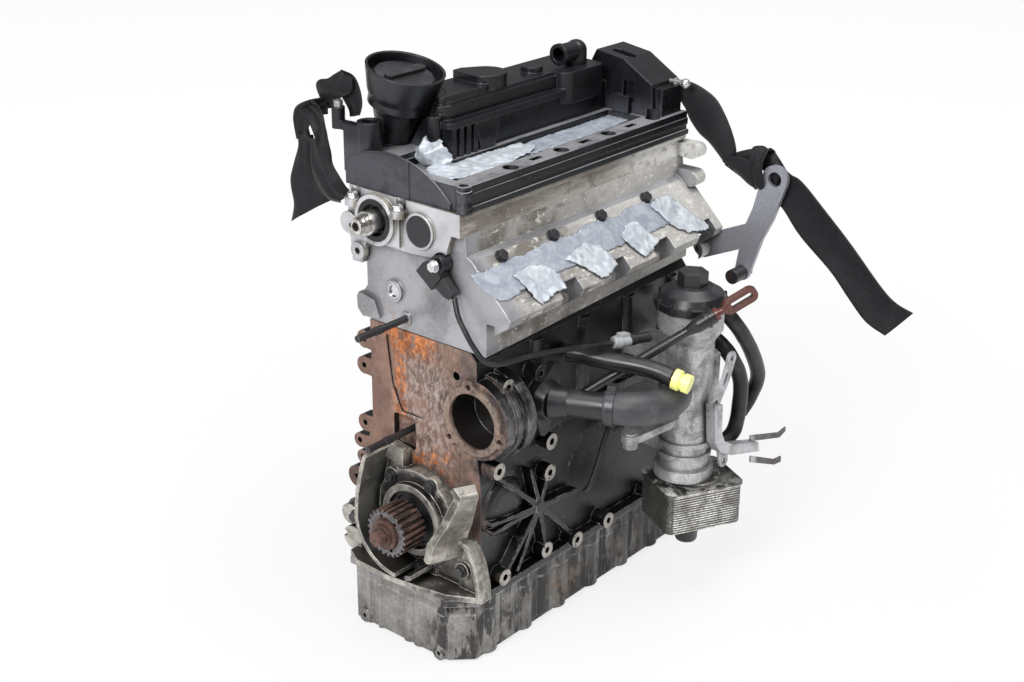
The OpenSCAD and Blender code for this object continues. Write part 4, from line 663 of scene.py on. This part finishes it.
def paint_tape(name, dull, fresh):
    """Silver cloth tape: a fine weave under a creased metallic skin, scuffed in places."""
    p = Paint(name)
    lengthwise, across = threads(p, 0.0012, 0.5)
    wrinkle = p.noise(75, 5, 0.6, twist=1.2)
    colour = p.layers(
        p.mix(p.step(wrinkle, 0.35, 0.7), dull, fresh),
        ((0.25, 0.27, 0.31), p.step(lengthwise, 0.7, 0.95), 0.16),
        ((0.22, 0.22, 0.235), p.spots(0.6, 0.72, 60, 6), 0.55),
        ((0.1, 0.095, 0.09), p.spots(0.66, 0.74, 260, 3), 0.6),
    )
    height = p.add_up(p.both(p.add_up(lengthwise, across), 0.05), wrinkle)
    p.bump(height, 0.4, 0.0014, 0)
    p.finish(colour, p.blend(p.step(wrinkle, 0.3, 0.7), 0.36, 0.52), 0.25)


def paint_webbing():
    """Black woven webbing: ribs along its length, cross threads and grey lint."""
    p = Paint("strap_black")
    across, ribs = threads(p, 0.0016, 0.3)
    lint = p.noise(420, 4)
    colour = p.layers(
        p.mix(p.step(ribs, 0.2, 0.9), (0.0045, 0.0045, 0.0055), (0.014, 0.014, 0.017)),
        ((0.024, 0.024, 0.028), p.spots(0.45, 0.7, 30, 4, 0.6), 0.35),
        ((0.1, 0.1, 0.11), p.step(lint, 0.62, 0.8), 0.2),
    )
    p.bump(p.add_up(ribs, p.both(across, 0.5), lint), 0.45, 0.0005, 0)
    p.finish(colour, 0.55, 0.0, sheen=(0.05, 0.4), gloss=0.25)


def paint_filter():
    """The filter housing: sparkling sand-cast alloy, clean on top, with oil down its body."""
    p = Paint("filter_alloy")
    blotch = p.noise(52, 6, 0.6, twist=0.4)
    oily = p.both(p.step(blotch, 0.4, 0.68), p.blend(p.past(Z, 0.185, 0.2), 0.8, 0.2))
    colour = p.layers(
        p.mix(p.spots(0.4, 0.62, 520, 4, 0.75), (0.34, 0.34, 0.345), (0.57, 0.57, 0.58)),
        ((0.12, 0.115, 0.108), oily),
        # painted shade in corners and recesses
        ((0.02, 0.018, 0.016), p.shade_in_hollows(0.012), 0.7),
        # brighter edges: partly wear, partly painted highlight
        ((0.8, 0.8, 0.8), p.edges(0.0014), 0.5),
    )
    casting_bump(p, 1200, 0.45, 0.0014)
    p.finish(colour, p.blend(oily, 0.36, 0.28), p.blend(oily, 0.55, 0.2))


def paint_cover():
    """The valve cover: near-black moulding, greyer on what faces up and forward, most low down:
    partly fine dust and partly painted light; painted highlights on its edges.
    """
    p = Paint("cover_plastic")
    blotch = p.noise(20, 5, 0.6)
    up = p.faces(Z, 0.3, 0.95)
    fore = p.faces(X, -0.4, -0.9)
    low = p.past(Z, 0.432, 0.41)
    colour = p.layers(
        p.mix(p.step(blotch, 0.4, 0.7), (0.003, 0.003, 0.004), (0.0055, 0.0055, 0.0075)),
        # partly dust, partly painted light on what faces up and forward
        (p.mix(p.both(up, low), (0.05, 0.052, 0.062), (0.27, 0.272, 0.285)), p.either(up, fore),
         p.blend(low, 0.15, 1.0), p.spots(0.16, 0.54, 46, 5, 0.65, stretch=(0.5, 1, 1)), 0.85),
        ((0.14, 0.14, 0.145), p.spots(0.66, 0.74, 700, 3), 0.3),
        # painted highlight along the edges
        ((0.075, 0.077, 0.085), p.edges(0.0016), 0.45),
    )
    p.bump(p.noise(2600, 2, 0.5), 0.12, 0.0004, 0.0026)
    p.finish(colour, p.blend(p.step(blotch, 0.3, 0.7), 0.22, 0.36), gloss=0.42)


def paint_cooler():
    """The oil cooler: bright plate edges, partly painted highlight, with dark stripes between the
    plates; dirt on its front face and painted shade towards its rear end.
    """
    p = Paint("cooler_alloy")
    blotch = p.noise(50, 6, 0.65, twist=0.4)
    aside = p.either(p.faces(X, -0.55, -0.8), p.both(p.past(X, -0.115, -0.08), 0.8))
    row = p.sum("FRACT", p.sum("DIVIDE", p.add_up(p.axis(p.where, Z), 0.0662), 0.0032))
    colour = p.layers(
        p.mix(p.step(blotch, 0.38, 0.62), (0.86, 0.85, 0.81), (0.36, 0.345, 0.31)),
        ((0.06, 0.055, 0.048), p.spots(0.5, 0.62, 600, 4, stretch=(1, 1, 0.3)), 0.7),
        # darker: dirt on the front face, painted shade towards the rear end
        ((0.05, 0.048, 0.044), aside, 0.88),
        ((0.05, 0.048, 0.044), p.faces(Z, 0.7, 0.9), p.step(blotch, 0.4, 0.55)),
        ((0.03, 0.028, 0.025), p.faces(Z, 0.5, 0.3), p.step(row, 0.4, 0.5), 0.85),
        # painted shade in corners and recesses
        ((0.012, 0.011, 0.01), p.shade_in_hollows(0.005), 0.95),
        # bright plate edges: partly wear, partly painted highlight
        ((0.75, 0.74, 0.7), p.edges(0.0007), 0.5),
    )
    p.bump(p.noise(800, 3, 0.55), 0.3, 0.0005)
    p.finish(colour, p.blend(p.step(blotch, 0.3, 0.7), 0.24, 0.45), 0.6)


def paint_bracket():
    """The hose bracket: worn silver paint, with two bare dark prongs."""
    p = Paint("bracket_steel")
    blotch = p.noise(60, 5, 0.65)
    x, z = p.axis(p.where, X), p.axis(p.where, Z)
    colour = p.layers(
        p.mix(p.step(blotch, 0.4, 0.66), (0.5, 0.495, 0.515), (0.26, 0.255, 0.26)),
        # the prongs
        (p.mix(p.step(blotch, 0.4, 0.6), (0.1, 0.095, 0.09), (0.05, 0.04, 0.035)),
         p.step(p.add_up(x, p.both(z, 0.3)), -0.022, -0.016)),
        # painted shade in corners and recesses
        ((0.02, 0.018, 0.017), p.shade_in_hollows(0.006), 0.85),
        # brighter edges: partly wear, partly painted highlight
        ((0.75, 0.74, 0.75), p.edges(0.0008), 0.6),
    )
    p.bump(p.noise(700, 3, 0.55), 0.2, 0.0004, 0.0008)
    p.finish(colour, 0.36, 0.45)


def paint_fixings():
    """Dark steel of bolts and studs, with rust specks; the bolt on the cover's lug is bright."""
    p = Paint("dark_steel")
    blotch = p.noise(120, 6, 0.65, twist=0.3)
    grain = p.noise(900, 3, 0.6)
    bright = p.both(p.past(Y, 0.12, 0.122), p.past(Z, 0.43, 0.44))
    colour = p.layers(
        p.mix(p.step(grain, 0.35, 0.7), (0.035, 0.035, 0.038), (0.075, 0.075, 0.08)),
        ((0.1, 0.05, 0.03), p.step(blotch, 0.62, 0.7)),
        (p.mix(p.step(blotch, 0.4, 0.6), (0.42, 0.42, 0.43), (0.2, 0.195, 0.19)), bright),
        # brighter edges: partly wear, partly painted highlight
        ((0.3, 0.3, 0.3), p.edges(0.0008), 0.4),
        # painted shade in corners and recesses
        ((0.012, 0.011, 0.01), p.shade_in_hollows(0.006), 0.8),
    )
    p.bump(grain, 0.25)
    p.finish(colour, p.blend(bright, 0.36, 0.22), 0.65)


def make_materials():
    for paint in (
        paint_block, paint_forged, paint_sprocket, paint_head, paint_carrier, paint_sump,
        paint_flange, paint_filter, paint_pistons, paint_cooler, paint_fixings, paint_bracket,
        paint_cover, paint_connector, paint_webbing,
    ):
        paint()
    paint_steel("bright_steel", (0.72, 0.72, 0.73), 0.2, 0.9, 0.05, 120)
    paint_steel("eye_steel", (0.38, 0.384, 0.425), 0.4, 0.55, 0.08, 70)
    paint_rubber("gasket_grey", (0.12, 0.12, 0.12))
    paint_rubber("black_rubber")
    paint_rubber("hose_rubber", (0.048, 0.048, 0.053), (0.42, 0.58), (0.12, 0.118, 0.115))
    dark, red = (0.0085, 0.0085, 0.0105), (0.085, 0.024, 0.017)
    paint_plastic("black_plastic", dark, (0.3, 0.45), 0.3, 0.0014, (0.09, 0.09, 0.098))
    paint_plastic("yellow_plastic", (0.84, 0.84, 0.26), (0.3, 0.4), 0.0, 0.0006)
    paint_plastic("red_plastic", red, (0.2, 0.35), 0.03, 0.001, (0.11, 0.06, 0.05))
    paint_tape("tape_silver", (0.295, 0.325, 0.382), (0.43, 0.464, 0.516))
    # a lighter copy of the silver tape: painted highlight
    paint_tape("tape_painted_highlight", (0.41, 0.445, 0.494), (0.64, 0.675, 0.71))


def dress_frame():
    for part in frame["record"]["subparts"]:
        mesh = nodes[part["node"]].data
        mesh.materials.clear()
        mesh.materials.append(LOOKS[part["material_slot"]])


# ---------------------------------------------------------------- hoses, tape and straps

HOSE_STEPS, BAND_STEPS = 14, 9  # points on a line between two given points
HOSE_LIP = 0.0009  # a hose's ends are this much slimmer, in metres
TAPE_THICK, BAND_THICK, BAND_ACROSS = 0.35, 1.7, 16  # in mm, in mm, and faces across a band


def spline(points, steps):
    """Points in metres on a smooth line through given points in engine millimetres."""
    p = [at(*v) for v in (points[0], *points, points[-1])]
    made = []
    for a, b, c, d in zip(p, p[1:], p[2:], p[3:]):
        square, cube = 2 * a - 5 * b + 4 * c - d, 3 * b - a - 3 * c + d
        for k in range(steps):
            t = k / steps
            made.append(0.5 * (2 * b + (c - a) * t + square * t * t + cube * t**3))
    made.append(p[-2])
    return made


def add_piece(name, points, faces, slot, *stood_for, weave=None, look=None):
    """A mesh on the engine's body. weave is each point's place on the cloth, in metres."""
    mesh = bpy.data.meshes.new(name)
    mesh.from_pydata([tuple(p) for p in points], [], faces)
    if weave:
        layer = mesh.uv_layers.new(name="weave")
        for loop in mesh.loops:
            layer.data[loop.index].uv = weave[loop.vertex_index]
    mesh.polygons.foreach_set("use_smooth", [True] * len(mesh.polygons))
    mesh.materials.append(LOOKS[look or slot])
    piece = place_object(name, mesh)
    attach(piece, "engine")
    if stood_for:
        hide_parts(*stood_for)
    return piece


def between_rings(count, sides):
    """The faces between count rings of points."""
    made = []
    for i in range(count - 1):
        for k in range(sides):
            a, b = i * sides + k, i * sides + (k + 1) % sides
            made.append((a, b, b + sides, a + sides))
    return made


def tube(name, points, radius, slot, *stood_for, sides=28, lumps=0.0, look=None):
    """A hose along given points, its ends rounded; returns the piece and its line."""
    line = spline(points, HOSE_STEPS)
    count = len(line)
    up, made = Vector((0.2, 0.3, 1)), []
    for i, place in enumerate(line):
        ahead = (line[min(i + 1, count - 1)] - line[max(i - 1, 0)]).normalized()
        u = ahead.cross(up).normalized()
        v = up = u.cross(ahead)
        r = radius - (HOSE_LIP if i in (0, count - 1) else 0)
        for k in range(sides):
            a = 2 * math.pi * k / sides
            out = u * math.cos(a) + v * math.sin(a)
            made.append(place + out * (r + lumps * noise.noise((place + out * radius) * 60)))
    ends = [tuple(reversed(range(sides))), tuple(range((count - 1) * sides, count * sides))]
    faces = between_rings(count, sides) + ends
    return add_piece(name, made, faces, slot, *stood_for, look=look), line


def turned(name, x, y, profile, slot, sides=40):
    """A turned piece on a vertical axis; profile is its outline, (radius, height), closed."""
    turns = [2 * math.pi * k / sides for k in range(sides)]
    made = [at(x + r * math.cos(a), y + r * math.sin(a), z) for r, z in profile for a in turns]
    add_piece(name, made, between_rings(len(profile), sides), slot)


def length_of(line):
    return sum((b - a).length for a, b in zip(line, line[1:]))


def crease(x, y, size, seed):
    """A creased height from about -1 to 1: sharp ridges, flat falls between, as in stiff cloth."""
    height = 0
    for finer, share in ((1, 0.6), (2.4, 0.28), (5.3, 0.12)):
        place = Vector((x * finer / size + seed, y * finer / size - seed, seed * 1.7))
        height += share * (1 - 4 * abs(noise.noise(place)))
    return height


def edges_of(outline):
    """The pairs of neighbours along a closed outline."""
    return zip(outline, outline[1:] + outline[:1])


def torn(outline, seed, rag):
    """The outline with a point every 3 mm, moved to and fro as a torn edge is."""

    def sway(x, y, seed):
        return rag * noise.noise(Vector((x / 4, y / 4, seed)))

    made = []
    for (x0, y0), (x1, y1) in edges_of(outline):
        n = max(1, round(math.hypot(x1 - x0, y1 - y0) / 3))
        for k in range(n):
            x, y = x0 + (x1 - x0) * k / n, y0 + (y1 - y0) * k / n
            made.append((x + sway(x, y, seed), y + sway(x, y, seed + 7)))
    return made


def tape_piece(name, outline, place, seed, *stood_for, grid=2.6, rag=2.2):
    """A sheet of tape, cut along an outline in millimetres and laid by place(x, y, lift)."""
    rim = torn(outline, seed, rag)
    inside = []
    low_x, high_x = min(p[0] for p in rim), max(p[0] for p in rim)
    low_y, high_y = min(p[1] for p in rim), max(p[1] for p in rim)
    for i in range(int((high_x - low_x) / grid) + 1):
        for j in range(int((high_y - low_y) / grid) + 1):
            x, y = low_x + grid * (i + 0.5 * (j % 2)), low_y + grid * (j + 0.5)
            if all(math.hypot(x - px, y - py) > 0.45 * grid for px, py in rim):
                inside.append((x, y))
    edges = [(k, (k + 1) % len(rim)) for k in range(len(rim))]
    flat, _, faces = delaunay_2d_cdt([Vector(p) for p in rim + inside], edges, [], 1, 1e-5)[:3]
    faces = [tuple(f) for f in faces]
    count = len(flat)
    points = [place(p.x, p.y, lift) for lift in (0, -TAPE_THICK) for p in flat]
    under = [tuple(v + count for v in reversed(f)) for f in faces]
    used = dict.fromkeys(pair for f in faces for pair in edges_of(f))
    walls = [(b, a, a + count, b + count) for a, b in used if (b, a) not in used]
    weave = [(p.x / 1000, p.y / 1000) for p in flat] * 2
    every = faces + under + walls
    # pieces that stand for no CAD part get the lighter copy of the tape: painted highlight
    look = "tape_silver" if stood_for else "tape_painted_highlight"
    piece = add_piece(name, points, every, "tape_silver", *stood_for, weave=weave, look=look)
    area = abs(sum(x0 * y1 - x1 * y0 for (x0, y0), (x1, y1) in edges_of(outline))) / 2e6


PORTS = [(75, 50), (163, 53), (255, 50), (343, 44)]


def on_ports(base, amount, size, seed):
    """Lays tape on the 45 degree intake flange; x runs back, y down the slope."""
    slope = math.sqrt(0.5)

    def place(x, y, lift):
        over = (1 - ((x - px) / 24) ** 2 - ((y - py) / 15) ** 2 for px, py in PORTS)
        sag = sum(max(0.0, share) for share in over)
        h = base + lift + amount * (1 + crease(x, y, size, seed)) - 0.5 * base * sag
        return at(x, -72 - (y + h) * slope, 325.5 - (y - h) * slope)

    return place


def on_cover(base, amount, size, seed):
    """Lays tape in the valve cover's hollow, seen from above."""

    def place(x, y, lift):
        return at(x, y, 397 + base + lift + amount * (1 + crease(x, y, size, seed)))

    return place


def crumpled_lump(x, y, lift):
    """The wad that stands up at the front of the hollow; x runs across it and y up it."""
    across, high = min(1, max(0, x / 52)), min(1, max(0, y / 44)) ** 0.8
    swell = math.sin(math.pi * across) * math.sin(math.pi * high)
    fold = crease(x, y, 26, 5.3)
    forward = 60 - 20 * swell - 3.2 * fold - lift
    return at(forward, 62 - x + 1.5 * crease(y, x, 20, 2.1), 394 + 0.86 * y + 1.5 * fold)


def make_tape():
    strip = [
        (-13, 13), (10, 14), (33, 14), (40, 12), (62, 12), (68, 14), (82, 14), (106, 11), (140, 11),
        (150, 14), (166, 14), (178, 10), (225, 9), (236, 14), (252, 14), (262, 10), (305, 9),
        (318, 13), (334, 13), (344, 12), (350, 24), (342, 40), (316, 46), (284, 47), (252, 44),
        (228, 47), (197, 47), (170, 43), (133, 47), (105, 47), (76, 44), (42, 50), (18, 54),
        (3, 51), (-10, 30),
    ]
    tape_piece("port_tape_strip", strip, on_ports(0.9, 0.28, 38, 1.0), 1.0, "port_tape")
    patches = [
        [(41, 31), (74, 28), (93, 36), (103, 49), (101, 67), (80, 67), (54, 73), (51, 65),
         (47, 50)],
        [(124, 37), (169, 27), (185, 38), (194, 52), (194, 67), (168, 75), (158, 73), (151, 61),
         (136, 46)],
        [(227, 38), (251, 27), (265, 27), (274, 44), (281, 60), (269, 65), (244, 72), (235, 58),
         (229, 46)],
        [(304, 17), (319, 12), (340, 13), (349, 21), (360, 39), (378, 68), (368, 72), (336, 65),
         (324, 56), (316, 45)],
    ]
    for i, patch in enumerate(patches):
        tape_piece(
            f"port_tape_patch_{i + 1}", patch, on_ports(2.2, 0.95, 24, 3.1 + 2.3 * i), 4.0 + i,
            grid=2.2, rag=3.0,
        )
    valley = [
        (58, -24), (100, -27), (131, -25), (172, -22), (204, -25), (244, -24), (291, -24),
        (345, -20), (362, -8), (372, 6), (374, 11), (330, 11.5), (275, 11), (237, 11.5), (186, 11),
        (150, 11.5), (104, 11), (72, 10),
    ]
    tape_piece("cover_tape_strip", valley, on_cover(1.0, 0.55, 34, 8.2), 8.0, "cover_tape")
    front = [
        (34, 21), (16, 4), (16, -22), (36, -30), (60, -34), (92, -34), (150, -24), (176, -14),
        (178, 8), (150, 11), (102, 11), (72, 20), (60, 32),
    ]
    tape_piece("cover_tape_front", front, on_cover(3.0, 1.7, 32, 11.4), 9.0, grid=2.3, rag=3.5)
    lump = [
        (0, 4), (4, 20), (10, 34), (22, 44), (40, 40), (50, 30), (52, 12), (46, 0), (24, -3),
        (6, -2),
    ]
    tape_piece("cover_tape_lump", lump, crumpled_lump, 10.0, grid=1.9, rag=2.5)


def band(name, left, right, curl, pleats=0.0, folds=3.0, stood_for=()):
    """A woven band between two edges of given points.

    curl bows it between its edges and pleats creases it lengthwise, both in mm."""
    a, b = np.array(spline(left, BAND_STEPS)), np.array(spline(right, BAND_STEPS))
    rows, middle = len(a), (a + b) / 2
    lengths = np.linalg.norm(np.diff(middle, axis=0), axis=1)
    along = np.concatenate([[0], np.cumsum(lengths)])
    wide = float(np.linalg.norm(a - b, axis=1).mean())
    normal = np.cross(np.gradient(middle, axis=0), b - a)
    normal /= np.linalg.norm(normal, axis=1)[:, None]
    made, weave, faces = [], [], []
    for side in (0.5, -0.5):
        for i in range(rows):
            for k in range(BAND_ACROSS + 1):
                t = k / BAND_ACROSS
                wave = noise.noise(Vector((along[i] * 22, t * folds * 0.4, wide * 90)))
                pleat = pleats * math.sin(math.pi * (folds * t + 1.6 * wave))
                bow = curl * 4 * t * (1 - t) + pleat + (0.5 + 0.35 * pleats) * wave
                half = side * BAND_THICK * min(1.0, 0.45 + 9 * min(t, 1 - t))
                place = a[i] * (1 - t) + b[i] * t + normal[i] * (bow + half) / 1000
                made.append(tuple(place))
                weave.append((float(along[i]), t * wide))
    row = BAND_ACROSS + 1
    layer = rows * row
    for i in range(rows - 1):
        for k in range(BAND_ACROSS):
            q = i * row + k
            faces.append((q, q + 1, q + 1 + row, q + row))
            faces.append((q + layer + row, q + layer + row + 1, q + layer + 1, q + layer))
        for k, turn in ((0, 1), (BAND_ACROSS, -1)):
            q = i * row + k
            faces.append((q, q + row, q + row + layer, q + layer)[::turn])
    for i, turn in ((0, 1), (rows - 1, -1)):
        for k in range(BAND_ACROSS):
            q = i * row + k
            faces.append((q, q + 1, q + 1 + layer, q + layer)[::turn])
    piece = add_piece(name, made, faces, "strap_black", *stood_for, weave=weave)


def make_straps():
    # from the lifting eye's knot up behind the cover's rear housing
    band(
        "strap_right_rise",
        [(404, -30, 445), (404, -37, 442), (408, -66, 441), (410, -87, 434), (412, -102, 424),
         (412, -116, 406), (412, -127, 386), (412, -133, 368), (412, -131, 357)],
        [(404, -20, 432), (404, -28, 428), (408, -47, 419), (410, -58, 407), (412, -65, 393),
         (412, -79, 379), (412, -94, 370), (412, -109, 357), (412, -120, 346)],
        -4, stood_for=["strap_right"])
    band(
        "strap_right_knot_top",
        [(416, -121, 358), (416, -137, 367), (416, -156, 374), (416, -178, 377), (416, -190, 369),
         (416, -202, 356)],
        [(413, -121, 352), (413, -137, 356), (413, -154, 356), (413, -168, 352), (413, -180, 346),
         (414, -190, 338)],
        -3, pleats=1.2)
    band(
        "strap_right_knot_low",
        [(409, -118, 361), (407, -133, 362), (405, -148, 363), (403, -160, 361), (402, -172, 356)],
        [(411, -121, 347), (409, -136, 341), (407, -151, 334), (405, -164, 330), (402, -176, 331)],
        -3, pleats=1.0)
    band(
        "strap_right_wrap",
        [(417, -158, 374), (404, -160, 379), (397, -162, 368), (397, -164, 350), (400, -165, 336),
         (410, -163, 328)],
        [(417, -184, 374), (404, -184, 380), (397, -181, 367), (397, -180, 353), (400, -181, 338),
         (410, -178, 330)],
        1.5, pleats=1.3)
    band(
        "strap_right_tail",
        [(417, -176, 372), (416, -188, 365), (416, -195, 360), (416, -208, 352), (416, -222, 347),
         (415, -251, 324), (413, -296, 286), (411, -340, 245), (410, -361, 231), (409, -384, 225)],
        [(417, -170, 343), (416, -176, 337), (416, -182, 328), (416, -193, 314), (416, -204, 304),
         (415, -228, 279), (413, -273, 246), (411, -301, 219), (410, -325, 198), (409, -352, 188)],
        2.5)
    # the left one is wound round the cover's post and tied under it
    band(
        "strap_left_loop",
        [(34, 182, 443), (26, 184, 464), (22, 176, 475), (20, 158, 481), (20, 148, 487),
         (22, 138, 493)],
        [(34, 150, 446), (30, 148, 458), (26, 139, 463), (24, 128, 468), (22, 121, 476),
         (22, 120, 487)],
        -3, pleats=1.5, stood_for=["strap_left"])
    band(
        "strap_left_over",
        [(24, 140, 493), (25, 122, 488), (25, 113, 473), (24, 109, 459), (24, 114, 447)],
        [(27, 164, 478), (30, 153, 467), (32, 145, 455), (32, 138, 446), (30, 134, 440)], 3,
        pleats=1.2)
    band(
        "strap_left_bunch",
        [(22, 168, 458), (18, 187, 452), (14, 201, 444), (12, 206, 434), (12, 206, 420),
         (15, 206, 405)],
        [(22, 160, 440), (16, 170, 437), (10, 177, 430), (7, 180, 421), (8, 180, 414),
         (12, 178, 404)],
        -4, pleats=2.2, folds=5)
    band(
        "strap_left_turn",
        [(18, 205, 438), (11, 190, 437), (6, 174, 430), (4, 166, 419), (8, 166, 404)],
        [(18, 180, 453), (10, 163, 452), (3, 150, 439), (3, 146, 422), (9, 148, 402)], -3,
        pleats=2.0, folds=4)
    band(
        "strap_left_tail",
        [(15, 205, 412), (17, 207, 396), (18, 216, 376), (19, 224, 356), (20, 225, 342),
         (19, 221, 322), (18, 227, 299)],
        [(20, 184, 412), (23, 186, 392), (26, 187, 371), (27, 185, 358), (27, 179, 349),
         (24, 172, 342), (22, 162, 338)],
        3, pleats=0.8)
    band(
        "strap_left_inner",
        [(12, 180, 412), (13, 181, 386), (13, 180, 368), (12, 170, 352), (8, 151, 345),
         (4, 128, 347)],
        [(12, 151, 412), (13, 149, 398), (13, 147, 386), (12, 135, 373), (8, 121, 366),
         (4, 105, 364)],
        4, pleats=1.0)


def make_hoses():
    cable, line = tube(
        "sensor_cable_smooth",
        [(-9, -55, 284), (-12, -60, 276), (-15, -66, 266), (-16, -76, 253), (-16, -88, 238),
         (-13, -102, 224), (2, -111, 219), (54, -110, 211), (101, -115, 204), (158, -124, 194),
         (177, -130, 192)],
        0.003, "black_rubber", "sensor_cable", sides=16, lumps=0.0003)
    length_of(line)
    for side, points in (
        ("outer", [(330, -88, 196), (342, -118, 200), (348, -152, 196), (354, -178, 178),
                   (387, -184, 135), (423, -178, 84), (430, -166, 48), (420, -158, 24)]),
        ("inner", [(328, -90, 150), (338, -120, 158), (344, -155, 154), (352, -176, 136),
                   (374, -182, 96), (380, -180, 52), (374, -178, 22), (356, -172, 8)]),
    ):
        name = f"breather_hose_{side}"
        hose, line = tube(f"{name}_smooth", points, 0.0095, "black_rubber", name, lumps=0.0004)
        length_of(line)
    tube(
        "coolant_hose_smooth",
        [(127, -158, 138), (134, -172, 138), (142, -184, 138), (158, -196, 137), (182, -202, 135),
         (206, -198, 133), (226, -187, 131), (243, -173, 131)],
        0.019, "black_rubber", "coolant_hose", sides=40, lumps=0.0006, look="hose_rubber")
    tube(
        "water_pipe_smooth",
        [(150, -85, 176), (158, -100, 175), (168, -130, 173), (180, -165, 172), (186, -188, 170),
         (190, -206, 166)],
        0.0105, "black_plastic", "water_pipe", sides=32)
    # thin steel rod beside the block, from the outlet down to a bolt in the crankcase wall
    tube(
        "side_rod",
        [(214, -103, 66), (200, -104, 44), (188, -105, 20), (176, -103, -2), (173, -98, -9)],
        0.0032, "dark_steel", sides=16, look="black_plastic")


def make_trim():
    """Trim without a solid: the sleeve at the cover's front corner, the oil cooler's nut."""
    turned(
        "cover_corner_sleeve", 0.5, -61.5,
        [(0.3, 388), (5.4, 388), (5.6, 389), (5.6, 401), (6.2, 402.2), (7.6, 402.6), (8.6, 402.2),
         (8.9, 401), (8.9, 396), (8.4, 395.2), (8.4, 387), (8.9, 386.4), (8.9, 384.4), (8.4, 383.8),
         (8.4, 382), (9.2, 381.2), (9.2, 379), (8.6, 378), (0.3, 378)],
        "cover_plastic")
    turned(
        "cooler_foot_nut", 278, -178,
        [(0.3, -66), (15, -66), (15.6, -67), (15.6, -72), (14.2, -74), (13.8, -86), (12.6, -89),
         (0.3, -89)],
        "black_plastic")


# ---------------------------------------------------------------- the scene

make_camera()
make_materials()
dress_frame()
make_hoses()
make_tape()
make_straps()
make_trim()
make_world()
make_floor(cad_box[0][2])
make_lamps()

scene = bpy.context.scene
scene.view_settings.view_transform = "Standard"
